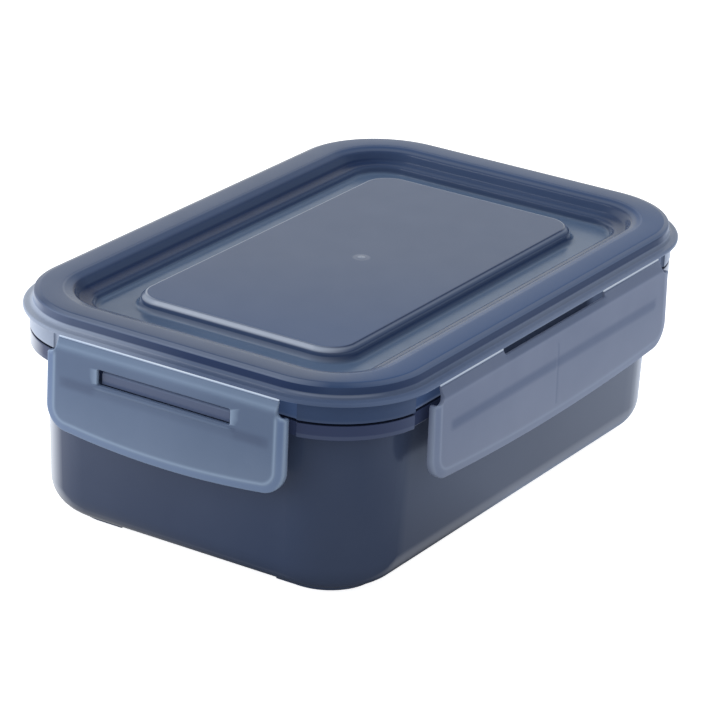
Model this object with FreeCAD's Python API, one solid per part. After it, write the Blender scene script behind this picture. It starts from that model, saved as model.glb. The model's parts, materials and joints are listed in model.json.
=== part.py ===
import FreeCAD, Part
import math
import os
from FreeCAD import Vector

# Snap lid food container: a deep tub, a shallow lid with a raised centre panel,
# a sealing ring in the lid's channel and four latches on living hinges.
# Millimetres.  Origin: centre of the footprint, on the plane the feet rest on.
# +X right, along the long sides; +Y to the back, along the short sides; +Z up.
# An inset is a distance inwards from the lid flange's outline.
os.makedirs("parts", exist_ok=True)

# ---------------------------------------------------------------- overall
LID_LENGTH = 200.0       # lid flange, along X
LID_WIDTH = 135.2        # lid flange, along Y
HALF_X = LID_LENGTH / 2
HALF_Y = LID_WIDTH / 2
CORNER_R = 31.96
FLANGE = (HALF_X, HALF_Y, CORNER_R)   # an outline: half sizes and corner radius

ORIGIN = Vector(0, 0, 0)
ALONG_X = Vector(1, 0, 0)
ALONG_Y = Vector(0, 1, 0)
UP = Vector(0, 0, 1)
DIAGONAL = math.sqrt(0.5)   # places the middle of a quarter arc

# name, kind, direction along its axis, turn from +X in degrees
SIDES = (
    ("right", "short", 1, 0.0),
    ("left", "short", -1, 180.0),
    ("back", "long", 1, 90.0),
    ("front", "long", -1, 270.0),
)

# ---------------------------------------------------------------- tub and lid, shared
FLOOR_EDGE_IN = 24.0     # inset where the wall profiles meet the flat floors
OVERLAP = 1.0            # flat slabs run this far into the profiles round them
# The skirt and the rim band step inwards behind each latch.
ZONE_HALF = {"short": 42.0, "long": 72.0}   # half lengths of the stepped zones
ZONE_IN = 3.4            # outer face of the stepped walls
STEP_WALL_IN = 4.9       # inner face of the stepped walls
SKIN_T = 1.5             # wall left round the hollows at the corners

# ---------------------------------------------------------------- tub
BASE_Z = 1.5             # underside of the floor
WALL_T = 1.6
TUB_FLOOR_T = 1.8
BASE_FILLET = 9.4        # outer fillet between floor and wall
WALL_IN_LOW = 8.75       # wall's outer face, at the fillet
WALL_IN_TOP = 7.25       # the same under the rim
CAVITY_TOP = 55.6        # where the drafted inner face ends
RIM_TOP = 57.9           # outer rim band
RIM_LOW = 53.4
RIM_IN = 2.15
RIM_SHELF_LOW = 56.4
LIP_TOP = 64.4           # sealing lip
LIP_LOW = 58.2           # lower end of its inner face
LIP_OUTER_IN, LIP_INNER_IN = 6.2, 8.0
BEVEL = 0.3              # on the rim, lip and feet
FOOT_OUTER_IN, FOOT_INNER_IN = 17.3, 19.5
FOOT_X, FOOT_Y = 70.0, 27.5   # the corner feet start here
FOOT_SINK = 0.2          # feet run this far into the floor

CATCH_HALF = {"short": 36.0, "long": 60.0}
CATCH_Z0, CATCH_Z1 = 50.0, 52.0
CATCH_TIP_IN = 0.6       # outer edge of the catch ledge
CATCH_WALL_TOP = RIM_TOP - 1
BAR_HALF = 22.2          # bar that shows in the slot of the short latches
BAR_Z0, BAR_Z1 = 54.1, 57.5
BAR_TIP_IN = -0.65       # negative: stands out of the flange outline
BAR_FILLET = 0.5

# ---------------------------------------------------------------- lid
FLANGE_LOW, FLANGE_TOP = 64.3, 65.5
CROWN_Z = 70.0
CROWN_UNDER = CROWN_Z - 1.5
SKIRT_LOW = 58.5
SKIRT_IN = 2.0
LID_T = 1.3              # floor and panel
LID_FLOOR_Z = 63.4
LID_FLOOR_UNDER = LID_FLOOR_Z - LID_T
PANEL = (68.6, 37.4, 10.0)   # outline of the raised panel's wall
PANEL_Z = 67.6
PANEL_UNDER = PANEL_Z - LID_T
PANEL_WALL_T = 1.7
PANEL_DRAFT = 0.1        # the wall leans in by this much
PANEL_CHAMFER = 1.5      # top edge of the panel
PANEL_FOOT = 1.8         # hollow fillet where the panel meets the floor
PANEL_FOOT_SINK = 0.2    # the fillet's profile runs this far into the floor
PANEL_EDGE_IN = 6.0      # panel profile ends here, from the panel outline

# ---------------------------------------------------------------- hinges
AXIS_Z = 64.4            # hinge line, on the flange's outer lower edge
HINGE_R = 0.30           # living hinge, as a thin round web
HINGE_GAP = 0.06
HINGE_END_GAP = 0.2
HINGE_TABS = {           # start and end of each tab along its side
    "short": [(-38.1, 38.1)],
    "long": [(-63.6, -29.0), (29.0, 63.6)],
}

# ---------------------------------------------------------------- latches
# Latch frame: X outboard, Y along the hinge, Z up, origin on the hinge line.
PLATE_HALF = {"short": 41.2, "long": 68.0}
PLATE_T = 1.2
FACE_X = 2.0             # outer face at the shoulder
FACE_X_LOW = 2.45        # outer face at the bottom edge
SHOULDER_Z = -3.4
PLATE_TOP = 0.5
PLATE_END_MID = -30.7    # bottom edge at the middle
PLATE_END_SIDE = -28.9   # bottom edge at the corners
SLAB_END = PLATE_END_MID - 1.0   # slabs run past the bottom edge before trimming
PLATE_R = 7.5
RETURN_T = 1.3           # turned-in edges
RETURN_X = -0.5          # how far they reach towards the tub
SLOT_HALF, SLOT_Z0, SLOT_Z1 = 23.0, -10.4, -6.1
SLOT_RETURN_GAP = 1.5    # gap in the bottom return, beyond each slot end
SLOT_LIP_R = 0.55
SLOT_LIP_SINK = 0.15     # lip axis, behind the face at the shoulder
SLOT_LIP_DROP = 0.75     # lip axis, below the slot
SLOT_LIP_EXTRA = 0.6     # lip length beyond each slot end
NOTCH_Z = -1.7           # gap between the two hinge tabs, long latches
HOOK_HALF, HOOK_Z0, HOOK_Z1 = 58.0, -17.2, -14.8
HOOK_TIP_T = 0.9
HOOK_ROOT_X = 1.2


# ================================================================ helpers
def profile_face(path):
    """Closed face in the XZ plane.  path: (x, z) points; ("arc", middle, end)
    is an arc from the previous point."""
    def vector(point):
        return Vector(point[0], 0, point[1])

    edges = []
    last = path[0]
    for step in path[1:] + [path[0]]:
        if step[0] == "arc":
            middle, end = step[1:]
            edge = Part.Arc(vector(last), vector(middle), vector(end))
        else:
            end = step
            edge = Part.LineSegment(vector(last), vector(end))
        edges.append(edge.toShape())
        last = end
    return Part.Face(Part.Wire(edges))


def from_corner_centre(path, radius):
    """Turns (inset, z) points into (distance from the corner centre, z)."""
    result = []
    for step in path:
        if step[0] == "arc":
            points = [(radius - inset, z) for inset, z in step[1:]]
            result.append(("arc", *points))
        else:
            result.append((radius - step[0], step[1]))
    return result


def ring(path, outline=FLANGE):
    """Carries a profile of (inset, z) points round an outline."""
    half_x, half_y, radius = outline
    x, y = half_x - radius, half_y - radius
    centres = [Vector(x, y, 0), Vector(-x, y, 0), Vector(-x, -y, 0), Vector(x, -y, 0)]
    face = profile_face(from_corner_centre(path, radius))

    def face_at(centre, turn):
        turned = face.copy()
        turned.rotate(ORIGIN, UP, turn)
        turned.translate(centre)
        return turned

    solids = []
    for i, centre in enumerate(centres):
        following = centres[(i + 1) % 4]
        solids.append(face_at(centre, 90.0 * i).revolve(centre, UP, 90.0))
        solids.append(face_at(centre, 90.0 * (i + 1)).extrude(following - centre))
    return solids[0].multiFuse(solids[1:]).removeSplitter()


def box(x_range, y_range, z_range, sign_x=1, sign_y=1):
    """Box between the given ends, mirrored in X or Y by a sign of -1."""
    x0, x1 = sorted(sign_x * x for x in x_range)
    y0, y1 = sorted(sign_y * y for y in y_range)
    z0, z1 = z_range
    return Part.makeBox(x1 - x0, y1 - y0, z1 - z0, Vector(x0, y0, z0))


def rounded_prism(outline, inset, z0, z1):
    """Upright prism on an outline moved inwards by inset."""
    half_x, half_y, radius = (size - inset for size in outline)
    block = box((-half_x, half_x), (-half_y, half_y), (z0, z1))
    upright = [e for e in block.Edges if abs(e.tangentAt(e.FirstParameter).z) > 0.99]
    return block.makeFillet(radius, upright)


def side_box(kind, sign, inner, outer, half, z0, z1):
    """Box along one side, between two insets."""
    if kind == "short":
        return box((HALF_X - inner, HALF_X - outer), (-half, half), (z0, z1), sign_x=sign)
    return box((-half, half), (HALF_Y - inner, HALF_Y - outer), (z0, z1), sign_y=sign)


def corner_boxes(x0, y0, z0, z1):
    """Four boxes, from x0, y0 out to the flange's extents."""
    return [box((x0, HALF_X), (y0, HALF_Y), (z0, z1), sign_x, sign_y)
            for sign_x in (1, -1) for sign_y in (1, -1)]


def hollow_corners(body, outer, inner, low, top):
    """Thins a wall at the corners by cutting between two insets."""
    hollow = ring([(outer, low - 1), (inner, low - 1), (inner, top), (outer, top)])
    for corner in corner_boxes(ZONE_HALF["long"] + SKIN_T, ZONE_HALF["short"] + SKIN_T,
                               low - 2, top):
        body = body.cut(hollow.common(corner))
    return body


def cut_zone(body, kind, sign, low, top):
    """Steps a wall inwards behind the latch of one side."""
    return body.cut(side_box(kind, sign, ZONE_IN, -1, ZONE_HALF[kind], low, top))


def hinge_point(kind, sign, along=0):
    """Point on the hinge line of one side."""
    if kind == "short":
        return Vector(sign * HALF_X, along, AXIS_Z)
    return Vector(along, sign * HALF_Y, AXIS_Z)


def export(shape, name):
    shape.exportStep("parts/" + name + ".step")


def write(shape, name):
    shape = shape.removeSplitter()
    if len(shape.Solids) == 1:
        shape = shape.Solids[0]
    export(shape, name)


# ================================================================ tub
def tub_shell():
    """Wall, rim band and sealing lip in one profile, closed by the floor."""
    outer_x = WALL_IN_LOW + BASE_FILLET      # fillet centres, as (inset, z)
    outer_z = BASE_Z + BASE_FILLET
    inner_r = BASE_FILLET - WALL_T
    cavity_in = WALL_IN_LOW + WALL_T
    inner_x = cavity_in + inner_r
    inner_z = BASE_Z + TUB_FLOOR_T + inner_r
    outer_offset = BASE_FILLET * DIAGONAL
    inner_offset = inner_r * DIAGONAL
    shell = ring([
        (FLOOR_EDGE_IN, BASE_Z), (outer_x, BASE_Z),
        ("arc", (outer_x - outer_offset, outer_z - outer_offset), (WALL_IN_LOW, outer_z)),
        (WALL_IN_TOP, RIM_SHELF_LOW), (STEP_WALL_IN, RIM_SHELF_LOW),
        (STEP_WALL_IN, RIM_LOW), (RIM_IN + BEVEL, RIM_LOW), (RIM_IN, RIM_LOW + BEVEL),
        (RIM_IN, RIM_TOP - BEVEL), (RIM_IN + BEVEL, RIM_TOP),
        (LIP_OUTER_IN, RIM_TOP), (LIP_OUTER_IN, LIP_TOP - BEVEL),
        (LIP_OUTER_IN + BEVEL, LIP_TOP), (LIP_INNER_IN - BEVEL, LIP_TOP),
        (LIP_INNER_IN, LIP_TOP - BEVEL), (LIP_INNER_IN, LIP_LOW),
        (WALL_IN_TOP + WALL_T, CAVITY_TOP), (cavity_in, inner_z),
        ("arc", (inner_x - inner_offset, inner_z - inner_offset),
         (inner_x, inner_z - inner_r)),
        (FLOOR_EDGE_IN, inner_z - inner_r),
    ])
    return shell.fuse(rounded_prism(FLANGE, FLOOR_EDGE_IN - OVERLAP,
                                    BASE_Z, BASE_Z + TUB_FLOOR_T))


def slot_bar(sign):
    """Bar of a short side, its outer end rounded on all edges but the lowest."""
    bar = side_box("short", sign, STEP_WALL_IN, BAR_TIP_IN, BAR_HALF, BAR_Z0, BAR_Z1)
    tip_edges = [e for e in bar.Edges
                 if abs(abs(e.CenterOfMass.x) - (HALF_X - BAR_TIP_IN)) < 1e-6
                 and abs(e.CenterOfMass.z - BAR_Z0) > 0.01]
    return bar.makeFillet(BAR_FILLET, tip_edges)


def add_feet(body):
    foot_top = BASE_Z + FOOT_SINK
    foot_ring = ring([
        (FOOT_OUTER_IN, foot_top), (FOOT_OUTER_IN, BEVEL), (FOOT_OUTER_IN + BEVEL, 0.0),
        (FOOT_INNER_IN - BEVEL, 0.0), (FOOT_INNER_IN, BEVEL), (FOOT_INNER_IN, foot_top),
    ])
    for corner in corner_boxes(FOOT_X, FOOT_Y, -1, BASE_Z + 1):
        body = body.fuse(foot_ring.common(corner))
    return body


def make_tub():
    body = hollow_corners(tub_shell(), RIM_IN + SKIN_T, STEP_WALL_IN,
                          RIM_LOW, RIM_SHELF_LOW)
    for _, kind, sign, _ in SIDES:
        half = CATCH_HALF[kind]
        body = cut_zone(body, kind, sign, RIM_LOW - 1, RIM_TOP + 1)
        # catch wall, then the ledge at its foot
        body = body.fuse(side_box(kind, sign, STEP_WALL_IN, ZONE_IN, half,
                                  CATCH_Z0, CATCH_WALL_TOP))
        body = body.fuse(side_box(kind, sign, STEP_WALL_IN, CATCH_TIP_IN, half,
                                  CATCH_Z0, CATCH_Z1))
        if kind == "short":
            body = body.fuse(slot_bar(sign))
    return add_feet(body)


# ================================================================ lid
def lid_shell():
    """Flange, crown, floor and skirt in one profile, closed by the floor."""
    shell = ring([
        # top, from the flange edge over the crown and down to the floor
        (0.0, FLANGE_LOW), (0.0, FLANGE_TOP - 0.25), (0.25, FLANGE_TOP),
        (1.9, FLANGE_TOP + 0.15),
        ("arc", (2.55, FLANGE_TOP + 0.5), (2.85, FLANGE_TOP + 1.4)),
        (3.0, CROWN_Z - 0.9),
        ("arc", (3.1, CROWN_Z - 0.64), (3.35, CROWN_Z - 0.5)),
        (4.55, CROWN_Z - 0.05), (4.85, CROWN_Z), (11.6, CROWN_Z),
        ("arc", (14.06, CROWN_Z - 0.523), (16.1, CROWN_Z - 2.0)),
        (16.4, 67.2),
        ("arc", (16.75, 66.55), (17.4, 66.3)),
        (19.6, 66.05),
        ("arc", (20.2, 65.8), (20.5, 65.3)),
        (20.8, 64.4),
        ("arc", (21.15, 63.7), (21.9, LID_FLOOR_Z)),
        (FLOOR_EDGE_IN, LID_FLOOR_Z),
        # underside, back outwards, with a rib inboard of the seal channel
        (FLOOR_EDGE_IN, LID_FLOOR_UNDER), (21.2, LID_FLOOR_UNDER),
        (19.4, 62.9), (19.1, 64.7), (15.9, 65.0), (14.9, 66.6),
        (14.6, CROWN_UNDER), (10.7, CROWN_UNDER), (10.5, 63.0), (9.5, 63.0),
        (9.3, CROWN_UNDER), (5.9, CROWN_UNDER), (5.9, FLANGE_LOW),
        # skirt
        (STEP_WALL_IN, FLANGE_LOW), (STEP_WALL_IN, SKIRT_LOW),
        (SKIRT_IN, SKIRT_LOW), (SKIRT_IN, FLANGE_LOW),
    ])
    return shell.fuse(rounded_prism(FLANGE, FLOOR_EDGE_IN - OVERLAP,
                                    LID_FLOOR_UNDER, LID_FLOOR_Z))


def add_panel(body):
    """Raised centre panel, hollow underneath."""
    body = body.cut(rounded_prism(PANEL, PANEL_WALL_T, LID_FLOOR_UNDER - 1, LID_FLOOR_Z + 1))
    arc_offset = PANEL_FOOT * DIAGONAL
    edge = ring([
        (-PANEL_FOOT - PANEL_FOOT_SINK, LID_FLOOR_Z), (-PANEL_FOOT, LID_FLOOR_Z),
        ("arc", (-PANEL_FOOT + arc_offset, LID_FLOOR_Z + PANEL_FOOT - arc_offset),
         (0.0, LID_FLOOR_Z + PANEL_FOOT)),
        (PANEL_DRAFT, PANEL_Z - PANEL_CHAMFER), (PANEL_DRAFT + PANEL_CHAMFER, PANEL_Z),
        (PANEL_EDGE_IN, PANEL_Z), (PANEL_EDGE_IN, PANEL_UNDER),
        (PANEL_WALL_T, PANEL_UNDER), (PANEL_WALL_T, LID_FLOOR_UNDER),
        (-PANEL_FOOT - PANEL_FOOT_SINK, LID_FLOOR_UNDER),
    ], PANEL)
    top = rounded_prism(PANEL, PANEL_EDGE_IN - OVERLAP, PANEL_UNDER, PANEL_Z)
    return body.fuse(edge).fuse(top)


def make_lid():
    # the hollow runs 0.001 past the skirt's inner face, for a clean cut
    body = hollow_corners(add_panel(lid_shell()), SKIRT_IN + SKIN_T, STEP_WALL_IN + 0.001,
                          SKIRT_LOW, FLANGE_LOW)
    for _, kind, sign, _ in SIDES:
        body = cut_zone(body, kind, sign, SKIRT_LOW - 1, FLANGE_LOW)
        # grooves for the hinge webs
        direction = ALONG_Y if kind == "short" else ALONG_X
        for start, end in HINGE_TABS[kind]:
            body = body.cut(Part.makeCylinder(
                HINGE_R + HINGE_GAP, end - start + 2 * HINGE_END_GAP,
                hinge_point(kind, sign, start - HINGE_END_GAP), direction))
    return body


# ================================================================ sealing ring
def make_seal():
    """Block with two ribs on its underside."""
    return ring([
        (6.15, 68.3), (9.05, 68.3), (9.05, 65.1), (8.75, 64.62), (8.35, 64.62),
        (8.0, 65.1), (6.95, 65.1), (6.7, 64.62), (6.4, 64.62), (6.15, 65.1),
    ])


# ================================================================ latches
def slab(path, half):
    """Extrudes an (x, z) profile along the hinge, from -half to half."""
    face = profile_face(path)
    face.translate(Vector(0, -half, 0))
    return face.extrude(Vector(0, 2 * half, 0))


def outline_prism(path):
    """Extrudes a (y, z) outline through the latch's thickness."""
    face = profile_face(path)
    face.rotate(ORIGIN, UP, 90)
    face.translate(Vector(-4, 0, 0))
    return face.extrude(Vector(10, 0, 0))


def lower_outline(plate_half, offset):
    """Plate's lower edge from +Y to -Y, moved inwards by offset."""
    half = plate_half - offset
    radius = PLATE_R - offset
    side_z = PLATE_END_SIDE + offset
    corner_y = half - radius
    arc_y = corner_y + radius * DIAGONAL
    arc_z = side_z + 0.4 + radius - radius * DIAGONAL
    return [
        (half, side_z + radius + 0.4),
        ("arc", (arc_y, arc_z), (corner_y, side_z + 0.28)),
        ("arc", (0.0, PLATE_END_MID + offset), (-corner_y, side_z + 0.28)),
        ("arc", (-arc_y, arc_z), (-half, side_z + radius + 0.4)),
    ]


def plate_and_returns(kind):
    """Latch plate and its turned-in edges, as two shapes."""
    half = PLATE_HALF[kind]
    tab_end = HINGE_TABS[kind][-1][1]
    full = outline_prism([
        (tab_end, PLATE_TOP), (tab_end, -2.7),
        ("arc", (tab_end + 0.55, -3.9), (half - 0.9, -4.6)),
        ("arc", (half - 0.2, -5.0), (half, -5.8)),
        *lower_outline(half, 0),
        (-half, -5.8),
        ("arc", (-(half - 0.2), -5.0), (-(half - 0.9), -4.6)),
        ("arc", (-(tab_end + 0.55), -3.9), (-tab_end, -2.7)),
        (-tab_end, PLATE_TOP),
    ])
    plate = slab([
        (0.28, -0.38), (FACE_X, SHOULDER_Z), (FACE_X_LOW, SLAB_END),
        (FACE_X_LOW - PLATE_T, SLAB_END), (FACE_X - PLATE_T, SHOULDER_Z - 0.9),
        (-0.28, -0.62),
    ], half + 1).common(full)

    opening_top = SHOULDER_Z - 1.9
    opening_half = half - RETURN_T
    opening = outline_prism([(opening_half, opening_top), *lower_outline(half, RETURN_T),
                             (-opening_half, opening_top)])
    border = full.cut(opening)
    return_top = SHOULDER_Z - 1.3
    returns = slab([
        (0.95, return_top), (FACE_X_LOW - PLATE_T + 0.1, SLAB_END),
        (RETURN_X, SLAB_END), (RETURN_X, return_top),
    ], half + 1).common(border)
    return plate, returns


def make_short_latch():
    plate, returns = plate_and_returns("short")
    # the bottom return leaves room for the slot bar when the lid lifts off
    gap_half = SLOT_HALF + SLOT_RETURN_GAP
    returns = returns.cut(box((-5, 5), (-gap_half, gap_half), (-40, 0)))
    body = plate.fuse(returns)
    body = body.cut(box((-3, 5), (-SLOT_HALF, SLOT_HALF), (SLOT_Z0, SLOT_Z1)))
    # rounded lip under the slot
    lip_half = SLOT_HALF + SLOT_LIP_EXTRA
    lip_start = Vector(FACE_X - SLOT_LIP_SINK, -lip_half, SLOT_Z0 - SLOT_LIP_DROP)
    return body.fuse(Part.makeCylinder(SLOT_LIP_R, 2 * lip_half, lip_start, ALONG_Y))


def make_long_latch():
    plate, returns = plate_and_returns("long")
    body = plate.fuse(returns)
    notch_half = HINGE_TABS["long"][-1][0]
    body = body.cut(box((-3, 5), (-notch_half, notch_half), (NOTCH_Z, 3)))
    hook = slab([
        (HOOK_ROOT_X, HOOK_Z1), (RETURN_X, HOOK_Z1), (RETURN_X, HOOK_Z1 - HOOK_TIP_T),
        (HOOK_ROOT_X, HOOK_Z0),
    ], HOOK_HALF)
    return body.fuse(hook)


def make_web(kind):
    """Hinge web in the latch frame, one cylinder for each tab."""
    solids = [Part.makeCylinder(HINGE_R, end - start, Vector(0, start, 0), ALONG_Y)
              for start, end in HINGE_TABS[kind]]
    return solids[0] if len(solids) == 1 else Part.makeCompound(solids)


def place(shape, kind, sign, turn):
    """Copy of a shape, moved from the latch frame to its side."""
    placed = shape.copy()
    placed.rotate(ORIGIN, UP, turn)
    placed.translate(hinge_point(kind, sign))
    return placed


# ================================================================ pieces
write(make_tub(), "tub")
write(make_lid(), "lid")
write(make_seal(), "seal_ring")

latches = {"short": make_short_latch(), "long": make_long_latch()}
for side, kind, sign, turn in SIDES:
    write(place(latches[kind], kind, sign, turn), side + "_latch")
    export(place(make_web(kind), kind, sign, turn), side + "_hinge_web")
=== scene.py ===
"""A rectangular plastic box with rounded corners, closed: tub, lid, sealing ring between
them, and four latch plates that hang from the lid on living hinges.

The box is centred on the Z axis and stands on Z = 0.  Its long sides run along X.
Right is +X, back is +Y, left is -X, front is -Y.  The camera looks from -X, -Y and above.
Shapes are given in millimetres and scaled by MM when vertices are made.
"""
import bpy
import bmesh
import json
import math
import numpy as np
from collections import namedtuple
from types import SimpleNamespace
from mathutils import Vector, Matrix
from mathutils.geometry import delaunay_2d_cdt
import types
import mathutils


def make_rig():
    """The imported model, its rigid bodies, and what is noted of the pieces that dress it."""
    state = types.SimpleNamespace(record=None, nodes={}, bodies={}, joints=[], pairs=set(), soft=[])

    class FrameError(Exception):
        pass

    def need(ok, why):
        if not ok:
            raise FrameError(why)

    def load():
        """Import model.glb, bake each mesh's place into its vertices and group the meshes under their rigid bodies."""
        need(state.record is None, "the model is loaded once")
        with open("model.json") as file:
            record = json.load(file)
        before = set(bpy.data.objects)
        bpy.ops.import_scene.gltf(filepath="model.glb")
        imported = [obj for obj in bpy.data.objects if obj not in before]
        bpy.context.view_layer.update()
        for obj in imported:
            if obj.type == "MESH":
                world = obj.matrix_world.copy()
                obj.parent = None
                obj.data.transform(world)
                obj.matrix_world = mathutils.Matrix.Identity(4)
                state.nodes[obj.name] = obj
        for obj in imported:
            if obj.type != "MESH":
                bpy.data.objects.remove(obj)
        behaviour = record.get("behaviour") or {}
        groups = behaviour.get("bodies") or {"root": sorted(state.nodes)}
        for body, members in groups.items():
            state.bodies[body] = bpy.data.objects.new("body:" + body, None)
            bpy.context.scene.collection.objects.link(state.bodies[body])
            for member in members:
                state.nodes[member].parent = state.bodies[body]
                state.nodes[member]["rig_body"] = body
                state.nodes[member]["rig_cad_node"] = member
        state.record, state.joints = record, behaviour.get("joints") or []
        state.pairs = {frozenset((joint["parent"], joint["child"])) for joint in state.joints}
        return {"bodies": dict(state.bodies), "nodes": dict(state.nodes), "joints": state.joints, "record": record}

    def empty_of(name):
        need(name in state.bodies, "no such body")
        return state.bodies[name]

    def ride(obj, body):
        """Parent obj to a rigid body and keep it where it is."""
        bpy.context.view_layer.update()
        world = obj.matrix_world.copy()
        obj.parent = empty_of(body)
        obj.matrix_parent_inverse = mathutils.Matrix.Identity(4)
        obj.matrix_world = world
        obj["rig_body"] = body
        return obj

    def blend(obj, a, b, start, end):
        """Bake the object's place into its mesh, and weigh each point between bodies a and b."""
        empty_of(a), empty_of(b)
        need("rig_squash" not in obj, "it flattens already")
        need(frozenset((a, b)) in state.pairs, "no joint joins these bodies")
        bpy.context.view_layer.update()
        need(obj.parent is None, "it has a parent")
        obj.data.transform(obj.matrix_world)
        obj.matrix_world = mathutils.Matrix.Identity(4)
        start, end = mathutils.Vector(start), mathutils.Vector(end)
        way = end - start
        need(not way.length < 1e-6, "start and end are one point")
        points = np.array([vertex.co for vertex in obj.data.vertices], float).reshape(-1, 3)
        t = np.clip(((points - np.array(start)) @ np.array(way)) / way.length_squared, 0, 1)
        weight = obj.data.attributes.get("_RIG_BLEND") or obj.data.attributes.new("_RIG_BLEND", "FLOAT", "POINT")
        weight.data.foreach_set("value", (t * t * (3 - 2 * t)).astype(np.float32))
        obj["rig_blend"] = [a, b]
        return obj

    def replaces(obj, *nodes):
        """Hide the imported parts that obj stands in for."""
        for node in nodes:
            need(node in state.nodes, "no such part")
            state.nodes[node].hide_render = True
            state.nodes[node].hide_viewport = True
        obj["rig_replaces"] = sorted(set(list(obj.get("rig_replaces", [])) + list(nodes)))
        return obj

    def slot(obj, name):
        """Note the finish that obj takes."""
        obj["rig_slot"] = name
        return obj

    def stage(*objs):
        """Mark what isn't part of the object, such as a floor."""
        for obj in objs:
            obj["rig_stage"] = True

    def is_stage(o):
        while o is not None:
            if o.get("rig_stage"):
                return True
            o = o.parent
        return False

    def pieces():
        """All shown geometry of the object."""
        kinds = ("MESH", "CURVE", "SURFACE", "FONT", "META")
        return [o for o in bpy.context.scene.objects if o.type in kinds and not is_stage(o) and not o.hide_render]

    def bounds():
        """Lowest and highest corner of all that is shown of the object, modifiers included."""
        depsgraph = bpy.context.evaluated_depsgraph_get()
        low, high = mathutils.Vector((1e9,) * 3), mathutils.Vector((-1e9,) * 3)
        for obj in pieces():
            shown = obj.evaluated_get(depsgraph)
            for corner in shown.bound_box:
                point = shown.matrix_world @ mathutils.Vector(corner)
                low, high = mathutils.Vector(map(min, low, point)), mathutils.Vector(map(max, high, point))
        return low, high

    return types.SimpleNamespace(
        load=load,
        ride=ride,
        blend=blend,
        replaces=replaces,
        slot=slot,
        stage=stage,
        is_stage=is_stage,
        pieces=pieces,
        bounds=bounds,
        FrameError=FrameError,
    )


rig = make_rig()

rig.load()
cad_low, cad_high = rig.bounds()
MM = 0.001

# ------------------------------------------------------------------ driving sizes, mm
HALF_X, HALF_Y, CORNER_R = 100.0, 67.6, 31.96      # outline of the lid's flange
CORNER_X, CORNER_Y = HALF_X - CORNER_R, HALF_Y - CORNER_R
HINGE_Z = 64.4                                     # height of the hinge axes

PANEL_R = 10.0                                     # raised panel in the middle of the lid
PANEL_CX, PANEL_CY = 68.6 - PANEL_R, 37.4 - PANEL_R

# level directions the surface tones are laid out by: to the camera, and to its right
TO_VIEW_X, TO_VIEW_Y = -0.847, -0.531
VIEW_RIGHT_X, VIEW_RIGHT_Y = 0.5314, -0.8471

# half: half width; hinge_half: half width at the hinge; gap_half: half width of the gap
# between the two hinge tabs; shade_reach: half width of the painted shade strip on the plate
# where the ledge lies behind it; hinge_spans: stretches of living hinge
Plate = namedtuple("Plate", "half hinge_half gap_half slotted shade_reach hinge_spans")
END_PLATE = Plate(half=41.2, hinge_half=38.1, gap_half=0.0, slotted=True,
                  shade_reach=36.0, hinge_spans=[(-38.05, 38.05)])
LONG_PLATE = Plate(half=68.0, hinge_half=63.6, gap_half=29.0, slotted=False,
                   shade_reach=60.0, hinge_spans=[(-63.5, -29.05), (29.05, 63.5)])

# side: outward direction x, y, and its plate
SIDES = {
    "right": (1, 0, END_PLATE),
    "back": (0, 1, LONG_PLATE),
    "left": (-1, 0, END_PLATE),
    "front": (0, -1, LONG_PLATE),
}


def finish_mesh(name, bm, angle, merge):
    """Clean the mesh, shade it smooth up to the angle (degrees) and link it as an object."""
    bmesh.ops.remove_doubles(bm, verts=bm.verts, dist=merge * MM)
    bmesh.ops.dissolve_degenerate(bm, edges=bm.edges, dist=0.0005 * MM)
    bmesh.ops.recalc_face_normals(bm, faces=bm.faces)
    mesh = bpy.data.meshes.new(name)
    bm.to_mesh(mesh)
    bm.free()
    mesh.validate()
    for polygon in mesh.polygons:
        polygon.use_smooth = True
    mesh.set_sharp_from_angle(angle=math.radians(angle))
    made = bpy.data.objects.new(name, mesh)
    bpy.context.scene.collection.objects.link(made)
    return made


# ================================================================== rings
# A ring piece is a stack of closed loops.  Every loop has the same stations, so the
# loops join into quads.  A station is a base point on the rectangle of corner centres,
# an outward direction, and the features found there.
Station = namedtuple("Station", "base_x base_y dir_x dir_y flat_cos features")

# Loop at an inset from the flange outline and a height.  The other fields, each
# (inset, z), replace these at stations with that feature.
Inset = namedtuple("Inset", "inset z zone ledge bar foot", defaults=(None,) * 4)

# Loop with its own corner centres and radius.
Round = namedtuple("Round", "centre_x centre_y radius z")

# Painted surface tone, 0 to 1: painted light, for pale light coming through walls and caught on edges;
# painted shade on walls and in hollows; painted dimming, bluer and less reflective, mostly facing the camera.
Tone = namedtuple("Tone", "thin deep crown", defaults=(0.0, 0.0, 0.0))


def first_quadrant():
    """Stations from the middle of the right side to the middle of the back side.

    zone: behind a latch plate; ledge: shelf of the tub under the plate; bar: bar that
    stands out on the two ends; foot: raised foot below the tub.
    """
    def side(*ys):
        return [(CORNER_X, y, 0) for y in ys]

    def corner(*angles):
        return [(CORNER_X, CORNER_Y, angle) for angle in angles]

    def back(*xs):
        return [(x, CORNER_Y, 90) for x in xs]

    runs = [
        (side(0, 3.7, 7.4, 11.1, 14.8, 18.5, 21.6, 22.1), "zone ledge bar"),
        (side(22.3, 25, 27.35), "zone ledge"),
        (side(27.65, 31.5, CORNER_Y) + corner(0.5), "zone ledge foot"),
        (corner(0.9, 4, 8, 12.05), "zone foot"),
        (corner(12.5, *np.linspace(15, 79, 22), 82.0), "foot"),
        (corner(82.45, 86, 90) + back(64, 60.1), "zone"),
        (back(59.9, 55, 50, 45, 40, 35, 30, 25, 20, 15, 10, 5, 0), "zone ledge"),
    ]
    stations = []
    for places, features in runs:
        for x, y, angle in places:
            folded = angle if angle < 45 else 90 - angle
            stations.append(Station(
                x, y, math.cos(math.radians(angle)), math.sin(math.radians(angle)),
                math.cos(math.radians(folded)), features.split()))
    return stations


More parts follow.
